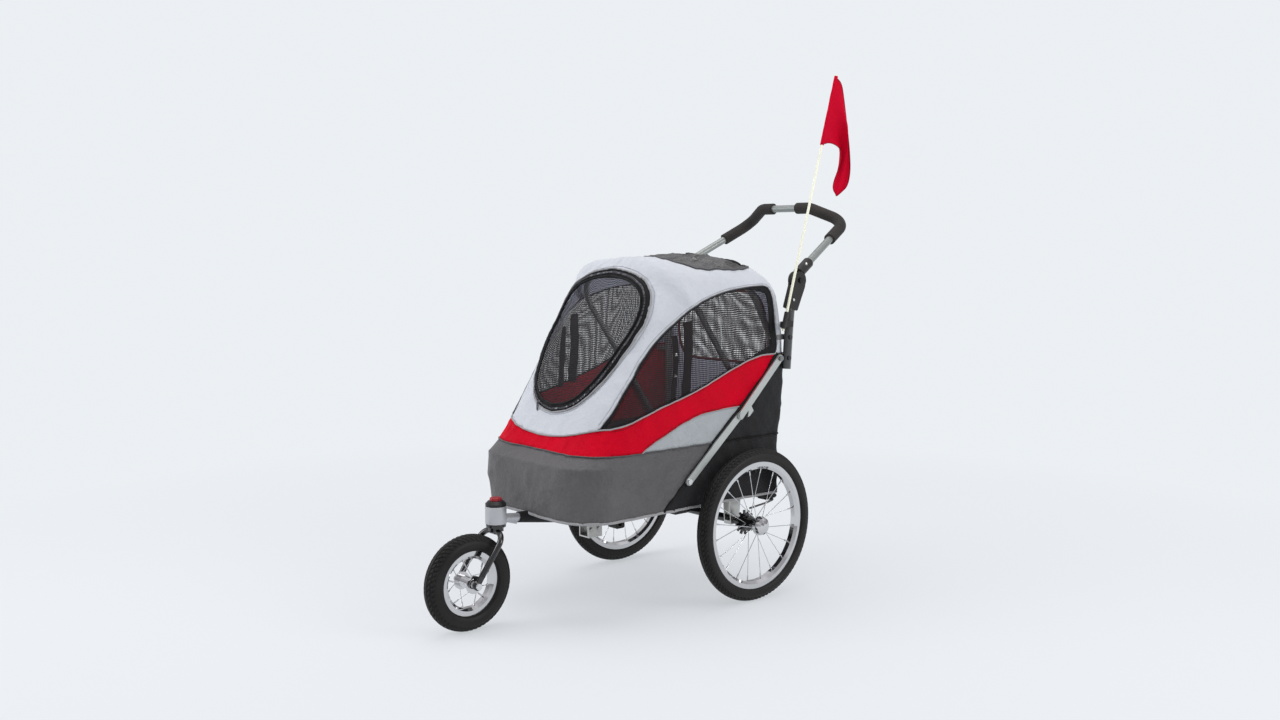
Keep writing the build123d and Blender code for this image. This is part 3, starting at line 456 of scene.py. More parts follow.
def tube(name, points, radius, look, closed=False, sides=8, flat=1.0, up=None, wobble=0.0):
    """A tube along points. flat squeezes it along up, its outward direction at each point."""
    p = np.asarray(points, float)
    n = len(p)
    if closed:
        t = np.roll(p, -1, 0) - np.roll(p, 1, 0)
    else:
        t = np.gradient(p, axis=0)
    t /= np.linalg.norm(t, axis=1)[:, None] + 1e-12
    if up is None:
        u = np.zeros_like(p)
        first = np.cross(t[0], (0.31, 0.53, 0.79))
        u[0] = first / np.linalg.norm(first)
        for i in range(1, n):
            v = u[i - 1] - t[i] * (u[i - 1] @ t[i])
            u[i] = v / (np.linalg.norm(v) + 1e-12)
    else:
        u = np.asarray(up, float) - t * np.sum(np.asarray(up) * t, axis=1)[:, None]
        u /= np.linalg.norm(u, axis=1)[:, None] + 1e-12
    w = np.cross(t, u)
    size = np.broadcast_to(np.asarray(radius, float), (n,))
    verts, uv = [], []
    for i in range(n):
        for k in range(sides):
            a = 2 * math.pi * k / sides
            r = size[i]
            if wobble:
                spot = Vector(p[i] * 60) + Vector((k * 0.7, 0, 0))
                r = r + wobble * noise.noise(spot)
            verts.append(p[i] + r * (math.cos(a) * w[i] + flat * math.sin(a) * u[i]))
            uv.append((a * size[i], i * 0.004))
    faces = []
    for i in range(n if closed else n - 1):
        j = (i + 1) % n
        for k in range(sides):
            m = (k + 1) % sides
            faces.append((i * sides + k, i * sides + m, j * sides + m, j * sides + k))
    if not closed:
        faces.append(tuple(range(sides))[::-1])
        faces.append(tuple((n - 1) * sides + k for k in range(sides)))
    return build(name, verts, faces, [look], uv)


def squashes(piece):
    """Attaches the upper cloth piece to the base body and gives it its own mesh."""
    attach(piece, "base")
    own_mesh(piece)


# ------------------------------------------------------------------ cloth body surface

height = np.array([0.262, 0.270, 0.400, 0.428, 0.573, 0.720, 0.930])
front_y = np.array([-0.356, -0.357, -0.361, -0.327, -0.240, -0.152, -0.028])
back_y = np.array([0.325, 0.325, 0.329, 0.332, 0.343, 0.339, 0.335])
half_x = np.array([0.235, 0.235, 0.238, 0.238, 0.239, 0.2395, 0.2395])
front_r = np.array([0.108, 0.108, 0.110, 0.115, 0.140, 0.150, 0.150])
back_r = np.array([0.030, 0.030, 0.032, 0.030, 0.020, 0.014, 0.014])


def line_through(points, count=60):
    """A smooth line through control points (Catmull-Rom)."""
    p = np.asarray(points, float)
    p = np.vstack([2 * p[0] - p[1], p, 2 * p[-1] - p[-2]])
    out = []
    for i in range(1, len(p) - 2):
        for t in np.linspace(0, 1, max(2, count // (len(p) - 3)), endpoint=False):
            out.append(
                0.5
                * (
                    2 * p[i]
                    + (p[i + 1] - p[i - 1]) * t
                    + (2 * p[i - 1] - 5 * p[i] + 4 * p[i + 1] - p[i + 2]) * t**2
                    + (3 * p[i] - p[i - 1] - 3 * p[i + 1] + p[i + 2]) * t**3
                )
            )
    out.append(p[-2])
    return np.array(out)


arch_half = line_through(
    [(0, 0.918), (0.1, 0.909), (0.19, 0.876), (0.226, 0.832), (0.241, 0.770)], 40
)
arch = np.vstack([arch_half, [(0.246, 0.70), (0.246, 0.15), (-0.3, 0.15), (-0.3, 0.918)]])
profile = np.vstack(
    [
        [(-0.52, 0.15), (-0.52, 0.535)],
        [(-0.13, 0.81)],
        line_through(
            [
                (-0.090, 0.846),
                (-0.056, 0.886),
                (-0.020, 0.906),
                (0.040, 0.917),
                (0.127, 0.920),
                (0.190, 0.912),
                (0.243, 0.893),
                (0.285, 0.862),
                (0.312, 0.827),
                (0.327, 0.780),
                (0.337, 0.700),
            ],
            60,
        ),
        [(0.346, 0.60), (0.380, 0.42), (0.380, 0.15)],
    ]
)


def sd_poly(px, py, poly):
    """Signed distance from points to a closed polygon, negative inside."""
    best = np.full(px.shape, 1e9)
    inside = np.zeros(px.shape, bool)
    n = len(poly)
    for i in range(n):
        ax, ay = poly[i]
        bx, by = poly[(i + 1) % n]
        ex, ey = bx - ax, by - ay
        wx, wy = px - ax, py - ay
        t = np.clip((wx * ex + wy * ey) / (ex * ex + ey * ey + 1e-18), 0, 1)
        best = np.minimum(best, (wx - ex * t) ** 2 + (wy - ey * t) ** 2)
        crosses = ((ay > py) != (by > py)) & (
            px < (bx - ax) * (py - ay) / (by - ay + 1e-18) + ax
        )
        inside ^= crosses
    best = np.sqrt(best)
    return np.where(inside, -best, best)


def smooth_max(a, b, k):
    return np.maximum(a, b) + np.maximum(k - np.abs(a - b), 0) ** 2 / (4 * k)


def body_distance(p):
    """About the distance to the cloth body, negative inside."""
    x, y, z = p[:, 0], p[:, 1], p[:, 2]
    f, b = np.interp(z, height, front_y), np.interp(z, height, back_y)
    h = np.interp(z, height, half_x)
    middle, depth = (f + b) / 2, (b - f) / 2
    r = np.where(
        y < middle, np.interp(z, height, front_r), np.interp(z, height, back_r)
    )
    qx, qy = np.abs(x) - (h - r), np.abs(y - middle) - (depth - r)
    plan = np.hypot(np.maximum(qx, 0), np.maximum(qy, 0))
    plan = plan + np.minimum(np.maximum(qx, qy), 0) - r
    over = sd_poly(np.abs(x), z, arch)
    along_y = sd_poly(y, z, profile)
    return smooth_max(smooth_max(plan, over, 0.020), along_y, 0.026)


def reach(origin, direction):
    """How far each ray goes from inside the body to its surface."""
    low, high = np.zeros(len(origin)), np.full(len(origin), 0.75)
    for _ in range(22):
        mid = (low + high) / 2
        inside = body_distance(origin + direction * mid[:, None]) < 0
        low, high = np.where(inside, mid, low), np.where(inside, high, mid)
    return (low + high) / 2


core_low, core_high, core_z = 0.04, 0.19, 0.60
step = 0.0090
ring_points = []
for cx, cy, r, a0 in (
    (0.208, 0.302, 0.032, 90),
    (0.130, -0.253, 0.110, 0),
    (-0.130, -0.253, 0.110, -90),
    (-0.208, 0.302, 0.032, -180),
):
    for k in range(13):
        a = math.radians(a0 - 90 * k / 12)
        ring_points.append((cx + r * math.cos(a), cy + r * math.sin(a)))
ring_points = [(0.0, 0.334)] + ring_points + [(0.0, 0.334)]
ring = along(ring_points, step)
columns = len(ring)
centre = np.column_stack([np.zeros(columns), np.clip(ring[:, 1], core_low, core_high)])
outward = ring - centre
outward /= np.linalg.norm(outward, axis=1)[:, None]

levels = np.concatenate(
    [np.arange(0.268, 0.396, 0.008), np.arange(0.396, 0.432, 0.004), np.arange(0.436, 0.6, 0.008)]
)
lifts = np.radians(np.linspace(0, 90, 58))
rows = []
for z in levels:
    origin = np.column_stack([centre, np.full(columns, z)])
    direction = np.column_stack([outward, np.zeros(columns)])
    rows.append((origin, direction))
for lift in lifts:
    origin = np.column_stack([centre, np.full(columns, core_z)])
    direction = np.column_stack(
        [outward * math.cos(lift), np.full(columns, math.sin(lift))]
    )
    rows.append((origin, direction))
origins = np.vstack([r[0] for r in rows])
directions = np.vstack([r[1] for r in rows])
skin = origins + directions * reach(origins, directions)[:, None]
row_count = len(rows)


def body_normal(p):
    out = np.zeros_like(p)
    for k in range(3):
        d = np.zeros(3)
        d[k] = 0.002
        out[:, k] = body_distance(p + d) - body_distance(p - d)
    return out / (np.linalg.norm(out, axis=1)[:, None] + 1e-12)


skin_normal = body_normal(skin)
around = np.tile(np.arange(columns) * step, row_count)
grid = skin.reshape(row_count, columns, 3)
rise = np.zeros((row_count, columns))
rise[1:] = np.cumsum(np.linalg.norm(np.diff(grid, axis=0), axis=2), axis=0)
upward = rise.ravel()

# seam lines in the side view (y, z)
band_top = [
    (-0.60, 0.482), (-0.335, 0.482), (-0.290, 0.484), (-0.266, 0.488),
    (-0.212, 0.502), (-0.136, 0.530), (-0.045, 0.554), (0.049, 0.583), (0.147, 0.621),
    (0.228, 0.644), (0.300, 0.648), (0.60, 0.648),
]
panel_line = [
    (-0.60, 0.20), (-0.30, 0.372), (-0.190, 0.423), (-0.110, 0.460), (0.0, 0.501),
    (0.106, 0.514), (0.176, 0.516), (0.30, 0.516),
]
stay_edge = [
    (0.255, -0.104), (0.275, -0.092), (0.333, -0.034), (0.428, 0.066), (0.515, 0.166),
    (0.600, 0.258), (0.646, 0.300), (0.660, 0.330), (0.70, 0.40),
]


def at(line, value, smooth=40):
    p = line_through(line, smooth)
    order = np.argsort(p[:, 0])
    return np.interp(value, p[order, 0], p[order, 1])


side_window = line_through(
    [
        (-0.268, 0.489), (-0.236, 0.529), (-0.193, 0.588), (-0.150, 0.649),
        (-0.109, 0.698), (-0.061, 0.743), (-0.003, 0.783), (0.038, 0.800),
        (0.101, 0.817), (0.174, 0.827), (0.240, 0.831), (0.276, 0.828), (0.290, 0.805),
        (0.297, 0.768), (0.300, 0.716), (0.298, 0.652), (0.228, 0.644), (0.147, 0.621),
        (0.049, 0.583), (-0.045, 0.554), (-0.136, 0.530), (-0.212, 0.502),
        (-0.250, 0.491), (-0.268, 0.489),
    ],
    130,
)[:-1]
front_window_right = [
    (0.0, 0.517), (0.055, 0.526), (0.100, 0.550), (0.130, 0.585), (0.148, 0.625),
    (0.161, 0.666), (0.170, 0.706), (0.175, 0.745), (0.172, 0.782), (0.160, 0.815),
    (0.136, 0.842), (0.097, 0.862), (0.050, 0.873), (0.0, 0.878),
]
front_window = line_through(
    front_window_right + [(-x, z) for x, z in front_window_right[-2::-1]], 160
)[:-1]
hatch_right = [
    (0.0, 0.040), (0.069, 0.026), (0.112, 0.019), (0.146, 0.022), (0.170, 0.036),
    (0.184, 0.062), (0.192, 0.100), (0.197, 0.145), (0.198, 0.190), (0.192, 0.232),
    (0.172, 0.256), (0.120, 0.266), (0.0, 0.270),
]
hatch = line_through(
    hatch_right + [(-x, y) for x, y in hatch_right[-2::-1]], 130
)[:-1]
rear_window_right = [
    (0.0, 0.612), (0.130, 0.614), (0.162, 0.632), (0.174, 0.680), (0.174, 0.750),
    (0.160, 0.794), (0.120, 0.812), (0.0, 0.817),
]
rear_window = line_through(
    rear_window_right + [(-x, z) for x, z in rear_window_right[-2::-1]], 90
)[:-1]


def d_seam(p):
    return p[:, 2] - 0.428


def d_band(p):
    """Height over the red band's upper edge, which also dips at the middle of the front."""
    share = np.clip((p[:, 1] + 0.288) / 0.040, 0, 1)
    share = share * share * (3 - 2 * share)
    middle = 0.4615 + 0.85 * p[:, 0] ** 2
    return p[:, 2] - (share * at(band_top, p[:, 1]) + (1 - share) * middle)


def d_panel(p):
    return p[:, 2] - at(panel_line, p[:, 1])


def d_stay(p):
    return p[:, 1] - at(stay_edge, p[:, 2])


def d_side(p):
    d = sd_poly(p[:, 1], p[:, 2], side_window)
    return np.where(np.abs(p[:, 0]) > 0.150, d, 0.05)


def d_side_inner(p):
    """The black edge of the side window: thin, and wide along its upright rear side."""
    extra = np.clip((p[:, 1] - 0.20) / 0.07, 0, 1) * np.clip((p[:, 2] - 0.62) / 0.04, 0, 1)
    return d_side(p) + 0.0028 + 0.017 * extra


def d_front(p):
    d = sd_poly(p[:, 0], p[:, 2], front_window)
    return np.where(p[:, 1] < 0.03, d, 0.05)


def d_hatch(p):
    d = sd_poly(p[:, 0], p[:, 1], hatch)
    return np.where(p[:, 2] > 0.84, d, 0.05)


def d_rear(p):
    d = sd_poly(p[:, 0], p[:, 2], rear_window)
    return np.where(p[:, 1] > 0.20, d, 0.05)


def wave(s, seed):
    """Soft repeating noise along a line."""
    return np.array([noise.noise(Vector((v, seed, 0.37))) for v in s])


def bell(x, width):
    return np.exp(-((x / width) ** 2))


def creases(across, length, seed):
    """Narrow ridges that wander along one direction, 0 to 1."""
    field = np.array([noise.noise(Vector((a, b, seed))) for a, b in zip(across, length)])
    return np.maximum(0, 1 - np.abs(field) / 0.13) ** 1.4


# Cloth shape: folds below the seam, pulls towards the seams, a soft sag between the hoops.
n_points = len(skin)
tub_share = np.clip((0.415 - skin[:, 2]) / 0.13, 0, 1)
low_fold = wave(around * 24, 3.1) + 0.6 * wave(around * 57, 8.7)
shift = 0.0055 * low_fold * tub_share**1.4
drift = wave(around * 9 + upward * 4, 5.5)
shift += 0.0040 * drift * np.clip(tub_share * 1.5, 0, 1)
slant = wave(around * 20 - upward * 16, 6.6)
shift += 0.0028 * slant * np.clip(tub_share * 1.2, 0, 1)
cross = around * 34 + upward * 11
pull = wave(cross, 1.9)
near_band = bell(d_band(skin), 0.045) * (skin[:, 2] > 0.44)
near_panel = bell(d_panel(skin), 0.045)
shift += 0.0030 * pull * near_band + 0.0026 * wave(cross * 1.5, 6.2) * near_panel
near_seam = bell(skin[:, 2] - 0.428, 0.034)
shift += 0.0024 * wave(around * 48, 4.4) * near_seam
lower = (skin[:, 2] > 0.428) * (d_band(skin) < 0)
shift += 0.0026 * lower * wave(around * 27 - upward * 21, 2.9)
shift += 0.0014 * lower * wave(around * 62 + upward * 40, 5.1)
upper = np.clip((skin[:, 2] - 0.47) / 0.08, 0, 1)
shift += 0.0042 * upper * wave(around * 5 + upward * 9, 2.2)
shift += 0.0020 * upper * wave(around * 17 - upward * 13, 7.7)
puff = np.clip(-d_front(skin) / 0.010, 0, 1)
shift += 0.009 * puff * (2 - puff) - 0.006 * np.clip((-d_front(skin) - 0.014) / 0.03, 0, 1)
near_front = bell(d_front(skin) - 0.012, 0.016)
shift += 0.0020 * near_front * wave(around * 40 + upward * 44, 1.2)
roof = np.clip((skin[:, 2] - 0.86) / 0.05, 0, 1)
shift -= 0.005 * roof * bell(skin[:, 1] - 0.075, 0.05)
shift += 0.013 * roof * bell(skin[:, 1] - 0.205, 0.065)
shift -= 0.010 * roof * bell(skin[:, 1] - 0.060, 0.06) * np.clip((0.05 - skin[:, 0]) / 0.09, 0, 1)
# the crease over the front hoop runs across the roof and curls back down both sides
drop = np.clip(0.885 - skin[:, 2], 0, 0.2)
ridge = skin[:, 1] - np.where(
    drop > 0, -0.042 + 5.1 * drop**2, -0.022 - 0.15 * np.abs(skin[:, 0])
)
crease = np.maximum(0, 1 - np.abs(ridge) / 0.030) * np.clip((skin[:, 2] - 0.74) / 0.05, 0, 1)
shift += 0.0060 * crease
behind = np.clip(d_stay(skin) / 0.03, 0, 1) * (skin[:, 2] < 0.646)
shift += 0.0060 * behind * wave(around * 22 + upward * 7, 9.3)
shift += 0.0024 * behind * wave(around * 47 - upward * 30, 4.8)
ripple = bell(d_hatch(skin), 0.03) * (skin[:, 2] > 0.84)
shift += 0.0045 * ripple * wave(skin[:, 1] * 52 + skin[:, 0] * 34, 3.3)
on_hatch = np.clip(-d_hatch(skin) / 0.02, 0, 1)
shift += on_hatch * (0.0070 * creases(skin[:, 0] * 17, skin[:, 1] * 9, 2.4) - 0.0055)
shift -= 0.0050 * on_hatch * wave(skin[:, 1] * 30 - skin[:, 0] * 8, 7.1)
steep = creases(around * 11 + upward * 9, upward * 3.5 - around * 2, 0.6)
flat_lie = creases(around * 3.2 - upward * 2, upward * 15 + around * 4, 5.8)
shift += 0.0030 * np.clip(tub_share * 3, 0, 1) * steep
shift += 0.0016 * np.clip(tub_share * 3, 0, 1) * flat_lie
shift += 0.0016 * lower * steep + 0.0010 * upper * np.maximum(steep, flat_lie)
skin = skin + skin_normal * shift[:, None]

shell = bmesh.new()
lay_s = shell.verts.layers.float.new("s")
lay_t = shell.verts.layers.float.new("t")
made_verts = []
for p, s, t in zip(skin, around, upward):
    v = shell.verts.new(p)
    v[lay_s], v[lay_t] = s, t
    made_verts.append(v)
for i in range(row_count - 1):
    for k in range(columns - 1):
        a, b = i * columns + k, (i + 1) * columns + k
        shell.faces.new(
            (made_verts[a], made_verts[b], made_verts[b + 1], made_verts[a + 1])
        )
bmesh.ops.remove_doubles(shell, verts=shell.verts, dist=0.0004)


def points_of(bm):
    return np.array([v.co for v in bm.verts], float)


def cut(bm, measure, at_value=0.0, snap=0.00025):
    """Splits the faces along the line where measure is at_value."""
    bm.verts.ensure_lookup_table()
    values = measure(points_of(bm)) - at_value
    values[np.abs(values) < snap] = 0.0
    share = dict(zip(bm.verts, values.tolist()))
    for e in list(bm.edges):
        a, b = e.verts
        fa, fb = share[a], share[b]
        if fa * fb < 0:
            _, v = bmesh.utils.edge_split(e, a, fa / (fa - fb))
            share[v] = 0.0
    for f in list(bm.faces):
        signs = [share[v] for v in f.verts]
        if min(signs) < 0 < max(signs):
            on = [v for v in f.verts if share[v] == 0.0]
            if len(on) >= 2:
                order = list(f.verts)
                for v in on[1:]:
                    gap = abs(order.index(v) - order.index(on[0]))
                    if gap not in (1, len(order) - 1):
                        bmesh.utils.face_split(f, on[0], v)
                        break


cut(shell, d_seam)
cut(shell, d_stay)
cut(shell, d_band)
cut(shell, d_panel)
cut(shell, d_side)
cut(shell, d_side_inner)
cut(shell, d_front)
cut(shell, d_front, -0.019)
cut(shell, d_hatch)
cut(shell, d_rear)

shell.faces.ensure_lookup_table()
mids = np.array([f.calc_center_median() for f in shell.faces])
fs, fd, fb, fp = d_seam(mids), d_stay(mids), d_band(mids), d_panel(mids)
f_side, f_front, f_hatch, f_rear = d_side(mids), d_front(mids), d_hatch(mids), d_rear(mids)
black = (fd > 0) & (mids[:, 2] < 0.660) & (fb < 0)
label = np.full(len(mids), "canopy", dtype=object)
label[fb < 0] = "red_band"
label[(fb < 0) & (fp < 0)] = "side_panels"
label[black] = "rear_cover"
label[fs < 0] = "tub"
label[(fs < 0) & (fd > 0)] = "tub_rear"
label[(f_side < 0) & (fb > 0)] = "side_border"
label[(d_side_inner(mids) < 0) & (fb > 0)] = "side_net"
label[(f_front < 0) & (label == "canopy")] = "front_border"
label[f_front < -0.019] = "front_net"
label[(f_hatch < 0) & (label == "canopy")] = "hatch_net"
label[(f_rear < 0) & np.isin(label.astype(str), ("canopy", "rear_cover"))] = "rear_net"
label = dict(zip(shell.faces, label))


def panel(name, wanted, outer, inner=None, thick=0.0014, sink=0.0):
    """One sewn panel of the body, with its own thickness and lining."""
    faces = [f for f in shell.faces if label[f] in wanted]
    number = {}
    for f in faces:
        for v in f.verts:
            number.setdefault(v, len(number))
    verts = [v.co - v.normal * sink for v in number]
    uv = [(v[lay_s], v[lay_t]) for v in number]
    made = build(name, verts, [[number[v] for v in f.verts] for f in faces], [outer], uv)
    if inner:
        made.data.materials.append(inner)
    if thick:
        solid = made.modifiers.new("thickness", "SOLIDIFY")
        solid.thickness = thick
        solid.offset = -1
        solid.material_offset = 1 if inner else 0
        solid.material_offset_rim = 0
    return made


shell.normal_update()
shell_tree = BVHTree.FromBMesh(shell)


def lay(points, towards, clear=0.0):
    """Points dropped on the cloth along one direction, with the cloth's outward normals."""
    spots, ups = [], []
    for point in points:
        spot, up, _, _ = shell_tree.ray_cast(Vector(point), Vector(towards))
        if spot is None:
            continue
        if up.dot(Vector(towards)) > 0:
            up = -up
        spots.append(spot + up * clear)
        ups.append(up)
    return np.array(spots), np.array(ups)


def inset(outline, distance):
    """A closed outline drawn in by distance."""
    p = np.asarray(outline, float)
    t = np.roll(p, -1, 0) - np.roll(p, 1, 0)
    t /= np.linalg.norm(t, axis=1)[:, None] + 1e-12
    n = np.column_stack([-t[:, 1], t[:, 0]])
    if sd_poly(*(p[:1] + n[:1] * 0.002).T, p)[0] > 0:
        n = -n
    return p + n * distance


panels = {
    "canopy_cover": ("canopy", m_canopy, m_lining, 0.0014, ["canopy"]),
    "red_side_band": ("red_band", m_red, m_lining_red, 0.0014, ["red_band"]),
    "grey_side_panels": ("side_panels", m_panel, m_lining_dark, 0.0014, ["side_panels"]),
    "black_rear_panels": ("rear_cover", m_black, m_lining, 0.0014, ["rear_cover"]),
    "side_window_border": ("side_border", m_tape, m_tape, 0.0010, []),
    "side_window_net": ("side_net", m_net_side, None, 0.0, ["side_windows"]),
    "front_window_border": ("front_border", m_tape, m_tape, 0.0030, []),
    "front_window_net": ("front_net", m_net_front, None, 0.0, ["front_mesh"]),
    "hatch_window_net": ("hatch_net", m_net_roof, None, 0.0, ["roof_mesh"]),
    "rear_window_net": ("rear_net", m_net, None, 0.0, []),
}
for name, (wanted, outer, inner, thick, stands_for) in panels.items():
    piece = panel(name, [wanted], outer, inner, thick, 0.0 if thick else 0.001)
    if wanted == "rear_cover":
        # its side flaps are lined in red, the back wall in blue grey
        piece.data.materials.append(m_black)
        piece.data.materials.append(m_lining_red)
        for face in piece.data.polygons:
            face.material_index = 2 if abs(face.center.x) > 0.226 else 0
    squashes(piece)
    if stands_for:
        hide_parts(*stands_for)
for name, wanted, outer in (
    ("tub_front_panel", "tub", m_tub),
    ("tub_rear_panel", "tub_rear", m_black),
):
    piece = panel(name, [wanted], outer, m_lining_dark)
    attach(piece, "base")
    if wanted == "tub":
        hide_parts("tub")


def chains(first, second):
    """Ordered lines of points, with outward normals, where two panels meet."""
    found = []
    for e in shell.edges:
        tags = {label[f] for f in e.link_faces}
        if len(e.link_faces) == 2 and tags & first and tags & second and len(tags) == 2:
            found.append(e)
    joined = {}
    for e in found:
        for v in e.verts:
            joined.setdefault(v, []).append(e)
    left, out = set(found), []
    while left:
        starts = [v for v in joined if len([e for e in joined[v] if e in left]) == 1]
        v = starts[0] if starts else next(iter(left)).verts[0]
        trail = [v]
        while True:
            options = [e for e in joined[v] if e in left]
            if not options:
                break
            e = options[0]
            left.discard(e)
            v = e.other_vert(v)
            trail.append(v)
        closed = trail[0] is trail[-1] and len(trail) > 3
        if closed:
            trail = trail[:-1]
        if len(trail) > 4:
            out.append(
                (
                    np.array([q.co for q in trail]),
                    np.array([q.normal for q in trail]),
                    closed,
                )
            )
    return out


def seam(name, first, second, radius, look, upper=True, lift=0.6, flat=1.0, wobble=0.0):
    """Piping along every line where the two groups of panels meet."""
    for number, (p, n, closed) in enumerate(chains(first, second)):
        both = np.hstack([p, n])
        both = eased(along(both, 0.006, closed), 3, closed)
        line, up = both[:, :3], both[:, 3:]
        up = up / (np.linalg.norm(up, axis=1)[:, None] + 1e-12)
        piece = tube(
            f"{name}_{number + 1}",
            line + up * radius * lift * flat,
            radius,
            look,
            closed,
            8,
            flat,
            up,
            wobble,
        )
        if upper:
            squashes(piece)
        else:
            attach(piece, "base")


above = {"red_band", "side_panels", "rear_cover"}
seam("seam_piping", {"tub"}, above, 0.0020, m_piping_dark, False)
seam("stay_piping_low", {"tub"}, {"tub_rear"}, 0.0030, m_tape, False)
seam("rear_seam_piping", {"tub_rear"}, {"rear_cover"}, 0.0016, m_tape, False)
seam("band_piping", {"red_band"}, {"canopy", "side_border", "side_net"}, 0.0021, m_piping)
seam("panel_piping", {"red_band"}, {"side_panels"}, 0.0016, m_piping)
seam("stay_piping", {"red_band", "side_panels"}, {"rear_cover"}, 0.0042, m_tape, True, 0.5)
seam("rear_top_piping", {"rear_cover"}, {"canopy"}, 0.0018, m_piping_dark)
seam("side_window_piping", {"side_border"}, {"canopy"}, 0.0013, m_piping_dark)
seam("front_window_piping", {"front_border"}, {"canopy"}, 0.0022, m_piping, True, 0.8)
seam("front_net_binding", {"front_border"}, {"front_net"}, 0.0026, m_tape, True, 0.5, 1.0, 0.0006)
seam("side_net_binding", {"side_border"}, {"side_net"}, 0.0016, m_tape, True, 0.5)
seam("hatch_piping", {"hatch_net"}, {"canopy"}, 0.0034, m_piping_dark, True, 0.4, 0.9, 0.0014)
seam("rear_window_piping", {"rear_net"}, {"canopy", "rear_cover"}, 0.0042, m_piping_red, True, -0.3)

# Hem binding round the bottom of the tub.
hem = [(skin[k], skin_normal[k]) for k in range(columns)]
hem_line = eased(along(np.array([h[0] for h in hem]), 0.008), 2)
hem_tube = tube("hem_binding", hem_line, 0.0030, m_piping, False, 8, 1.3)
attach(hem_tube, "base")


def dashes(name, spots, ups, look, pitch=0.0042, length=0.0028, radius=0.00045):
    """A row of stitches lying on the cloth."""
    both = along(np.hstack([spots, ups]), pitch)
    line, up = both[:, :3], both[:, 3:]
    verts, faces, uv = [], [], []
    for i in range(len(line) - 1):
        t = line[i + 1] - line[i]
        size = np.linalg.norm(t)
        if size > pitch * 1.6 or size < 1e-6:
            continue
        t /= size
        n = up[i] / (np.linalg.norm(up[i]) + 1e-12)
        w = np.cross(t, n)
        first = len(verts)
        for share, lift, r in ((0, -0.4, 0.7), (0.25, 0.9, 1), (0.75, 0.9, 1), (1, -0.4, 0.7)):
            middle = line[i] + t * length * share + n * radius * lift
            for a, b in ((1, 0), (0, 1), (-1, 0), (0, -1)):
                verts.append(middle + radius * r * (a * w + b * n))
                uv.append((share * 0.003, (a + b) * 0.001))
        for q in range(3):
            for k in range(4):
                m = (k + 1) % 4
                c = first + q * 4
                faces.append((c + k, c + m, c + 4 + m, c + 4 + k))
        faces.append((first + 3, first + 2, first + 1, first))
        faces.append((first + 12, first + 13, first + 14, first + 15))
    return build(name, verts, faces, [look], uv)


def stitched(name, spots, ups, look, upper=True):
    piece = dashes(name, spots, ups, look)
    if upper:
        squashes(piece)
    else:
        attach(piece, "base")


def from_front(outline):
    p = along(outline, 0.004, True)
    p = np.vstack([p, p[:1]])
    return lay([(x, -0.9, z) for x, z in p], (0, 1, 0))


def from_side(points, side, gap=0.0):
    p = along(points, 0.006)
    return lay([(side * 0.6, y, z) for y, z in p], (-side, 0, 0), gap)


# Front window: zip teeth down the middle of the black border, stitches on both sides.
def zip_teeth(name, spots, ups):
    """Two staggered rows of small moulded teeth."""
    both = along(np.hstack([spots, ups]), 0.0026)
    line, up = both[:, :3], both[:, 3:]
    verts, faces, uv = [], [], []
    for i in range(len(line) - 1):
        t = line[i + 1] - line[i]
        t /= np.linalg.norm(t) + 1e-12
        n = up[i] / (np.linalg.norm(up[i]) + 1e-12)
        w = np.cross(t, n) * (1 if i % 2 else -1)
        first = len(verts)
        for lift, small in ((-0.0004, 1.0), (0.0012, 1.0), (0.0019, 0.55)):
            for a, b in ((-0.5, -0.35), (0.5, -0.35), (0.5, 1.0), (-0.5, 1.0)):
                across = (b - 0.3) * small + 0.3
                spot = line[i] + t * a * 0.0019 * small + w * across * 0.0027 + n * lift
                verts.append(spot)
                uv.append((a * 0.002, b * 0.003))
        for q in range(2):
            for k in range(4):
                m = (k + 1) % 4
                c = first + q * 4
                faces.append((c + k, c + m, c + 4 + m, c + 4 + k))
        faces.append((first + 8, first + 9, first + 10, first + 11))
    piece = build(name, verts, faces, [m_zip], uv, smooth=False)
    squashes(piece)


zip_spots, zip_ups = from_front(inset(front_window, 0.0085))
zip_teeth("front_zip_teeth", zip_spots, zip_ups)
for number, depth in enumerate((0.0035, 0.0135)):
    spots, ups = from_front(inset(front_window, depth))
    stitched(f"front_border_stitches_{number + 1}", spots, ups, m_thread_dark)
spots, ups = from_front(inset(front_window, -0.0065))
stitched("front_window_stitches", spots, ups, m_thread)


def ring_points(centre, a, b, radius_a, radius_b, count=20):
    return [
        np.asarray(centre)
        + radius_a * math.cos(2 * math.pi * k / count) * np.asarray(a)
        + radius_b * math.sin(2 * math.pi * k / count) * np.asarray(b)
        for k in range(count)
    ]


# The slider stands at the lower left of the window, its pull tab hanging down the cloth.
near = int(np.argmin(np.hypot(zip_spots[:, 0] + 0.062, zip_spots[:, 2] - 0.535)))
n = zip_ups[near] / np.linalg.norm(zip_ups[near])
t = zip_spots[near + 1] - zip_spots[near - 1]
t = t / np.linalg.norm(t)
w = np.cross(t, n)
body = tube(
    "zip_slider_body",
    [zip_spots[near] + n * 0.0012 + t * q for q in (-0.007, -0.005, 0.0, 0.005, 0.007)],
    [0.0022, 0.0044, 0.0036, 0.0044, 0.0024],
    m_zip,
    False,
    12,
    0.7,
    np.tile(n, (5, 1)),
)
hang = np.array((0.0, -0.35, -1.0))
hang = hang - n * (hang @ n)
hang /= np.linalg.norm(hang)
tab_way = np.cross(hang, n)
tab = tube(
    "zip_slider_pull",
    ring_points(zip_spots[near] + n * 0.0058 + hang * 0.014, hang, tab_way, 0.013, 0.0042, 24),
    0.0012,
    m_zip,
    True,
    8,
)
for piece in (body, tab):
    squashes(piece)

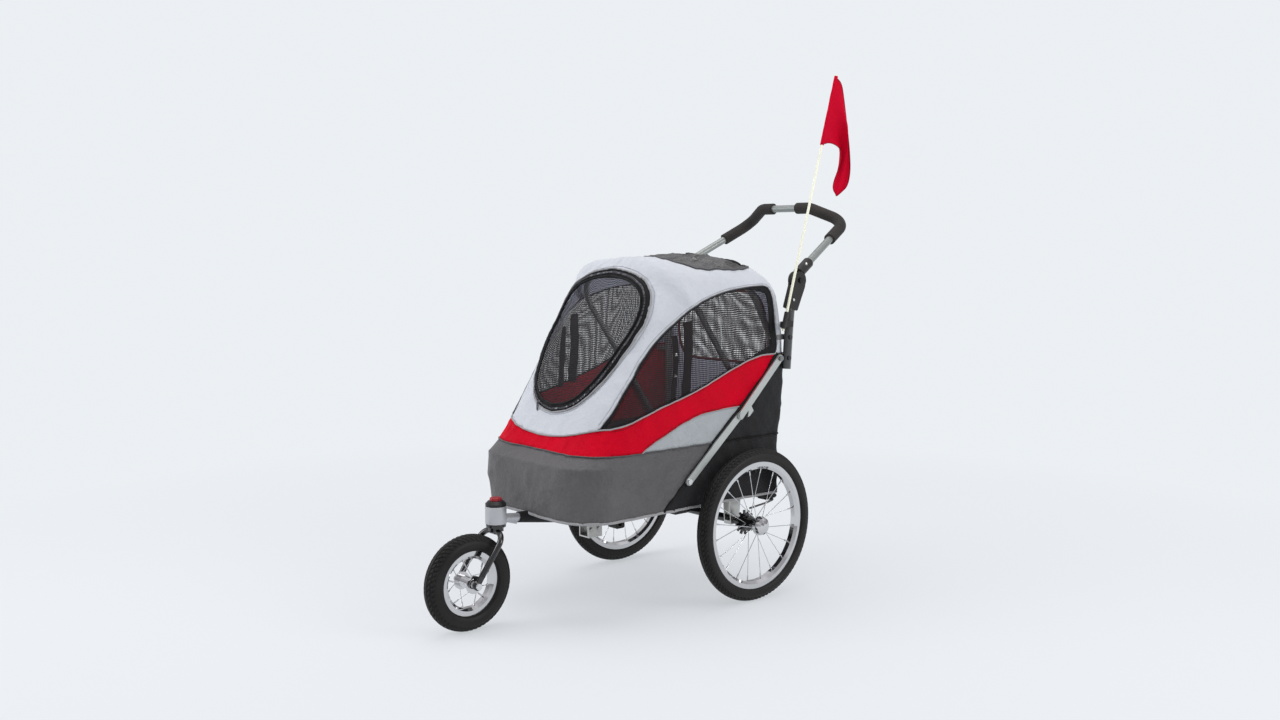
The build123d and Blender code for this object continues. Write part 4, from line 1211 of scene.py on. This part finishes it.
# Stitch rows beside the seams of the upper cloth.
for side, word in ((1, "right"), (-1, "left")):
    line = line_through(band_top[3:-1], 120)
    line = line[(line[:, 0] < 0.292) & (line[:, 0] > -0.25)]
    for number, drop in enumerate((0.0062, -0.0066)):
        spots, ups = from_side(line - (0, drop), side)
        stitched(f"band_stitches_{number + 1}_{word}", spots, ups, m_thread_dark)
    line = line_through(panel_line[2:-1], 100)
    line = line[(line[:, 0] < 0.155) & (line[:, 0] > -0.17)]
    spots, ups = from_side(line + (0, 0.0055), side)
    stitched(f"panel_stitches_{word}", spots, ups, m_thread_dark)
    outline = inset(side_window, -0.0055)
    outline = outline[(outline[:, 1] > at(band_top, outline[:, 0]) + 0.012)]
    order = np.argsort(np.arctan2(outline[:, 1] - 0.66, outline[:, 0] - 0.06))
    spots, ups = from_side(outline, side)
    stitched(f"side_window_stitches_{word}", spots, ups, m_thread)
    # two black webbing straps behind the side net, one with snaps
    for number, (y_top, y_low, z_top, z_low, wide) in enumerate(
        ((-0.062, -0.068, 0.715, 0.545, 0.009), (-0.020, -0.026, 0.748, 0.556, 0.015))
    ):
        count = 26
        share = np.linspace(0, 1, count)
        bow = 0.004 * np.sin(share * math.pi)
        path = np.column_stack(
            [y_top + (y_low - y_top) * share + bow, z_top + (z_low - z_top) * share]
        )
        spots, ups = from_side(path, side, -0.0045)
        piece = tube(
            f"side_strap_{number + 1}_{word}", spots, wide, m_strap, False, 12, 0.08, ups
        )
        squashes(piece)
        if number == 0:
            for k, share in enumerate((0.28, 0.62)):
                i = int(len(spots) * share)
                spot, up = spots[i] + ups[i] * 0.0012, ups[i]
                dome = tube(
                    f"strap_snap_{k + 1}_{word}",
                    [spot + up * q for q in (-0.0004, 0.0006, 0.0016, 0.0022)],
                    [0.0052, 0.0054, 0.0040, 0.0012],
                    m_snap,
                    False,
                    18,
                )
                squashes(dome)

# Roof window: a webbing tab with a buckle behind it, and a crumpled storage roll along its rear.
path = [(0.055, y) for y in np.linspace(0.236, 0.312, 22)]
spots, ups = lay([(x, y, 1.2) for x, y in path], (0, 0, -1), 0.0016)
piece = tube("roof_strap", spots, 0.0095, m_strap, False, 12, 0.09, ups)
squashes(piece)
spots, ups = lay([(0.055, y, 1.2) for y in (0.262, 0.268, 0.276, 0.284, 0.290)], (0, 0, -1), 0.004)
piece = tube(
    "roof_strap_buckle", spots, [0.006, 0.0125, 0.0115, 0.0125, 0.006], m_gloss_plastic,
    False, 14, 0.3, ups,
)
squashes(piece)
path = line_through([(-0.165, 0.236), (-0.09, 0.246), (0.0, 0.250), (0.09, 0.246), (0.165, 0.236)], 60)
spots, ups = lay([(x, y, 1.2) for x, y in along(path, 0.006)], (0, 0, -1), 0.003)
fat = np.array([0.0085 + 0.0025 * noise.noise(Vector((k * 0.35, 0.4, 7.7))) for k in range(len(spots))])
fat[:3] *= (0.3, 0.7, 0.9)
fat[-3:] *= (0.9, 0.7, 0.3)
piece = tube("roof_cover_roll", spots, fat, m_tape, False, 14, 0.75, ups, 0.0022)
squashes(piece)

# ------------------------------------------------------------------ floor mat

mat_bm = bmesh.new()
mat_x = np.arange(-0.205, 0.2051, 0.005)
mat_y = np.arange(-0.345, 0.2901, 0.005)
rows_of = [[mat_bm.verts.new((x, y, 0.0)) for x in mat_x] for y in mat_y]
for a, b in zip(rows_of, rows_of[1:]):
    for k in range(len(mat_x) - 1):
        mat_bm.faces.new((a[k], a[k + 1], b[k + 1], b[k]))
corner = []
for cx, cy, r, a0 in (
    (0.180, 0.261, 0.020, 90), (0.124, -0.261, 0.076, 0),
    (-0.124, -0.261, 0.076, -90), (-0.180, 0.261, 0.020, -180),
):
    for k in range(9):
        a = math.radians(a0 - 90 * k / 8)
        corner.append((cx + r * math.cos(a), cy + r * math.sin(a)))
mat_outline = np.array(corner)


def d_mat(p):
    return sd_poly(p[:, 0], p[:, 1], mat_outline)


cut(mat_bm, d_mat)
mids = np.array([f.calc_center_median() for f in mat_bm.faces])
outside = d_mat(mids) > 0
bmesh.ops.delete(
    mat_bm, geom=[f for f, out_of in zip(list(mat_bm.faces), outside) if out_of], context="FACES"
)
spots = points_of(mat_bm)
depth = np.clip(-d_mat(spots), 0, 1)
edge = np.clip(depth / 0.014, 0, 1)
channels = [
    np.abs((spots[:, 0] + way * spots[:, 1] + 0.02) / 1.4142 % 0.068 - 0.034) for way in (1, -1)
]
quilt = sum(bell(c, 0.0055) for c in channels) + bell(depth - 0.022, 0.004)
top = 0.2990 + 0.0122 * np.sqrt(1 - (1 - edge) ** 2) - 0.0034 * np.clip(quilt, 0, 1.2) * edge
top += 0.0008 * np.array([noise.noise(Vector(q * 22)) for q in spots]) * edge
verts = [(*q[:2], z) for q, z in zip(spots, top)] + [(*q[:2], 0.2984) for q in spots]
number = {v: k for k, v in enumerate(mat_bm.verts)}
faces = [[number[v] for v in f.verts] for f in mat_bm.faces]
faces += [[len(spots) + k for k in f[::-1]] for f in faces]
for e in mat_bm.edges:
    if len(e.link_faces) == 1:
        loop = e.link_loops[0]
        a, b = number[loop.vert], number[loop.link_loop_next.vert]
        faces.append((b, a, len(spots) + a, len(spots) + b))
mat_piece = build(
    "quilted_floor_mat", verts, faces, [m_mat], [(v[0], v[1]) for v in verts]
)
mat_bm.free()
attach(mat_piece, "base")
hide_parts("floor_mat")

# ------------------------------------------------------------------ flag

pole_low, pole_high = np.array((0.268, 0.297, 0.711)), np.array((0.268, 0.501, 1.401))
pole_way = (pole_high - pole_low) / np.linalg.norm(pole_high - pole_low)


def on_pole(z):
    return pole_low + pole_way * (z - pole_low[2]) / pole_way[2]


far_edge = line_through(
    [
        (0.4995, 1.396), (0.522, 1.380), (0.534, 1.343), (0.546, 1.283), (0.557, 1.228),
        (0.5665, 1.160), (0.566, 1.126), (0.559, 1.103), (0.544, 1.089), (0.5225, 1.0735),
    ],
    64,
)
near_edge = line_through(
    [
        (0.4478, 1.2125), (0.478, 1.218), (0.506, 1.2145), (0.528, 1.204), (0.536, 1.188),
        (0.5355, 1.172), (0.532, 1.154), (0.5235, 1.127), (0.5185, 1.104), (0.520, 1.090),
        (0.5245, 1.081), (0.5225, 1.0735),
    ],
    64,
)
length_steps, height_steps = 72, 26
far_edge = along(far_edge, 0.0005)
near_edge = along(near_edge, 0.0005)
verts, uv = [], []
for i in range(length_steps + 1):
    u = i / length_steps
    a = far_edge[int(round(u * (len(far_edge) - 1)))]
    b = near_edge[int(round(u * (len(near_edge) - 1)))]
    if i == 0:
        a, b = on_pole(1.396)[1:], on_pole(1.2125)[1:]
    for k in range(height_steps + 1):
        v = k / height_steps
        y, z = a + (b - a) * v
        free = min(1.0, u * 3.0)
        end = 1 - u**4
        x = 0.268 + 0.010 * free * math.sin(2.6 * u + 4.2 * v * end + 0.4)
        x += 0.0045 * free * end * math.sin(9.0 * v - 5.0 * u)
        x += 0.011 * free * end * max(0.0, 1 - abs(v - 0.30 - 0.25 * u) / 0.26)
        x -= 0.014 * u * (1 - 0.6 * v * end)
        verts.append((x, y, z))
        uv.append((u * 0.34, v * 0.19))
faces = []
for i in range(length_steps):
    for k in range(height_steps):
        a, b = i * (height_steps + 1) + k, (i + 1) * (height_steps + 1) + k
        faces.append((a, b, b + 1, a + 1))
flag_cloth = build("flag_cloth", verts, faces, [m_flag], uv)
flag_area = sum(q.area for q in flag_cloth.data.polygons)
sleeve_line = [on_pole(z) for z in np.linspace(1.2105, 1.3985, 30)]
flag_sleeve = tube("flag_sleeve", sleeve_line, 0.0052, m_flag, False, 14, 1.0, None, 0.0006)
flag_hem = tube(
    "flag_hem",
    [(verts[i * (height_steps + 1) + height_steps]) for i in range(length_steps)]
    + [verts[i * (height_steps + 1)] for i in range(length_steps - 1, -1, -1)],
    0.0012,
    m_flag_hem,
    False,
    6,
)
for piece in (flag_cloth, flag_sleeve, flag_hem):
    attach(piece, "rear_frame")
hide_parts("flag")

# ------------------------------------------------------------------ tyres


def step_up(value, low, high):
    share = np.clip((value - low) / (high - low), 0, 1)
    return share * share * (3 - 2 * share)


def tyre(name, body, slot_name, x, y, z, radius, section, bead, blocks):
    """Round tyre with slanted tread blocks, ribbed sidewalls and a foot in the rim."""
    middle, low = radius - section, bead + 0.0009
    widest = math.degrees(math.acos((low - middle) / section))
    bend = np.concatenate(
        [
            np.linspace(-widest, -62, 14, endpoint=False),
            np.linspace(-62, 62, 63),
            np.linspace(62, widest, 15)[1:],
        ]
    )
    count = blocks * 10
    turn = np.arange(count) / count
    t, f = np.meshgrid(turn, bend, indexing="ij")
    a = np.abs(f)
    tooth = np.where(f < 0, t * blocks + a * 0.030, t * blocks + 0.5 + a * 0.030) % 1.0
    bar = step_up(tooth, 0.0, 0.10) * (1 - step_up(tooth, 0.62, 0.74))
    sipe = 1 - bell((tooth * 1.0) % 1.0 - 0.36, 0.05) * 0.5
    zig = 4.0 * np.abs((t * blocks) % 1.0 - 0.5) - 1.0
    centre_rib = 1 - step_up(a, 8 + zig, 10 + zig)
    inner_row = step_up(a, 13 + zig, 15 + zig) * (1 - step_up(a, 30, 32)) * bar
    outer_row = step_up(a, 35, 37) * (1 - step_up(a, 55, 60)) * bar * sipe
    tread = np.maximum(np.maximum(centre_rib, inner_row), outer_row)
    crown = 1 - step_up(a, 56, 62)
    lift = (tread - 1) * 0.0030 * crown - 0.0014 * (1 - crown)
    for where, wide, high in ((72, 1.6, 0.0006), (78, 1.2, 0.0004), (100, 2.0, 0.0008), (110, 1.6, 0.0006)):
        lift += high * bell(a - where, wide)
    size = section + lift
    r = middle + size * np.cos(np.radians(f))
    across = size * np.sin(np.radians(f))
    foot = min(0.0098, section)
    ends = [(bead - 0.006, foot), (low, foot)]
    r = np.hstack([np.tile([e[0] for e in ends], (count, 1)), r, np.tile([e[0] for e in ends[::-1]], (count, 1))])
    across = np.hstack(
        [
            np.tile([-e[1] for e in ends], (count, 1)),
            across,
            np.tile([e[1] for e in ends[::-1]], (count, 1)),
        ]
    )
    angle = 2 * math.pi * turn[:, None]
    verts = np.stack([x + across, y + r * np.cos(angle), z + r * np.sin(angle)], axis=2)
    wide = verts.shape[1]
    verts = verts.reshape(-1, 3)
    faces = []
    for i in range(count):
        j = (i + 1) % count
        for k in range(wide):
            m = (k + 1) % wide
            faces.append((i * wide + k, i * wide + m, j * wide + m, j * wide + k))
    uv = np.column_stack([np.repeat(turn, wide) * 1.2, np.tile(np.arange(wide) * 0.002, count)])
    piece = build(name, verts, faces, [m_rubber], uv)
    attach(piece, body)
    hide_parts(slot_name)
    # valve stem with its threaded cap
    top = z + bead - 0.004
    steps = np.linspace(0, 0.026, 27)
    sizes = [0.0028 + (0.0003 if k % 2 else 0.0) if q < 0.018 else 0.0036 for k, q in enumerate(steps)]
    sizes[-1] = 0.0022
    valve = tube(f"{name}_valve", [(x, y, top - q) for q in steps], sizes, m_rubber, False, 14)
    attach(valve, body)


tyre("front_tyre_treaded", "front_wheel", "front_tyre", 0.0, -0.5345, 0.120, 0.120, 0.026, 0.080, 56)
for side, word in ((1, "right"), (-1, "left")):
    tyre(
        f"rear_tyre_treaded_{word}", f"rear_wheel_{word}", f"rear_tyre_{word}",
        side * 0.2774, 0.184, 0.203, 0.203, 0.022, 0.169, 92,
    )

# ------------------------------------------------------------------ small fittings


def dome(name, spot, way, sizes, look, body, slot_name, sides=20):
    """A small turned fitting: radii at distances along way."""
    way = np.asarray(way, float) / np.linalg.norm(way)
    piece = tube(
        name, [np.asarray(spot) + way * d for d, _ in sizes], [r for _, r in sizes], look, False, sides
    )
    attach(piece, body)
    return piece


rivet = [(-0.0010, 0.0040), (0.0, 0.0042), (0.0010, 0.0036), (0.0017, 0.0018), (0.0019, 0.0004)]
for side, word in ((1, "right"), (-1, "left")):
    dome(
        f"knuckle_rivet_{word}", (side * 0.2652, 0.3912, 0.8896), (side, 0, 0), rivet, m_snap,
        "handle", "knuckle_tops",
    )
    dome(
        f"sleeve_rivet_{word}", (side * 0.2640, 0.3440, 0.7930), (side, 0, 0), rivet, m_snap,
        "rear_frame", "knuckle_bases",
    )

# ------------------------------------------------------------------ studio

floor_look, tree, shader = start("studio_floor", Roughness=0.85)
spot = add(tree, "TexCoord").outputs["Object"]
flat_length = add(tree, "VectorMath", operation="LENGTH")
tree.links.new(spot, flat_length.inputs[0])
fade = remap(tree, flat_length.outputs["Value"], 0.55, 2.6, 0.56, 1.0)
shader.inputs["Base Color"].default_value = (0.70, 0.715, 0.745, 1)
glow = add(tree, "Emission", {"Color": (0.835, 0.868, 0.900, 1), "Strength": 1.0})
mixer = add(tree, "MixShader", {"Fac": fade})
tree.links.new(shader.outputs[0], mixer.inputs[1])
tree.links.new(glow.outputs[0], mixer.inputs[2])
tree.links.new(mixer.outputs[0], tree.nodes["Material Output"].inputs["Surface"])
floor = build(
    "studio_floor",
    [(-60, -60, 0), (60, -60, 0), (60, 60, 0), (-60, 60, 0)],
    [(0, 1, 2, 3)],
    [floor_look],
    smooth=False,
)

world = bpy.data.worlds.new("studio")
scene.world = world
world.use_nodes = True
tree = world.node_tree
back = tree.nodes["Background"]
path = add(tree, "LightPath")
place = add(tree, "TexCoord")
split = add(tree, "SeparateXYZ", {"Vector": place.outputs["Generated"]})
tone = remap(tree, split.outputs[2], -0.1, 0.9, 0.34, 0.85)
side_tone = remap(tree, noise_of(tree, place.outputs["Generated"], 2.2, 1.0), 0.4, 0.6, 0.62, 1.1)
grey = calc(tree, "MULTIPLY", tone, side_tone)
lit = add(tree, "CombineXYZ", {0: grey, 1: grey, 2: calc(tree, "MULTIPLY", grey, 1.04)})
seen = add(tree, "MixRGB", {"Fac": path.outputs["Is Camera Ray"]})
tree.links.new(lit.outputs[0], seen.inputs["Color1"])
seen.inputs["Color2"].default_value = (0.835, 0.868, 0.900, 1)
tree.links.new(seen.outputs[0], back.inputs["Color"])


def area_light(name, spot, target, wide, tall, power, colour=(1, 1, 1)):
    data = bpy.data.lights.new(name, "AREA")
    data.shape = "RECTANGLE"
    data.size, data.size_y = wide, tall
    data.energy = power
    data.color = colour
    made = bpy.data.objects.new(name, data)
    scene.collection.objects.link(made)
    made.location = spot
    aim = Vector(target) - Vector(spot)
    made.rotation_euler = aim.to_track_quat("-Z", "Y").to_euler()


area_light("top_softbox", (-0.3, -0.1, 3.4), (0, 0, 0.4), 2.6, 2.6, 36)
area_light("front_softbox", (-1.7, -3.0, 1.9), (0, -0.1, 0.5), 1.8, 2.0, 48, (0.97, 0.98, 1))
area_light("right_softbox", (3.1, 1.3, 1.9), (0, 0.1, 0.5), 1.6, 2.0, 46, (1, 0.99, 0.98))
cabin = bpy.data.lights.new("light_through_cloth", "POINT")
cabin.energy = 2.6
cabin.shadow_soft_size = 0.12
cabin_lamp = bpy.data.objects.new("light_through_cloth", cabin)
cabin_lamp.location = (0, 0.10, 0.74)
cabin_lamp.visible_camera = False
cabin_lamp.visible_glossy = False
scene.collection.objects.link(cabin_lamp)
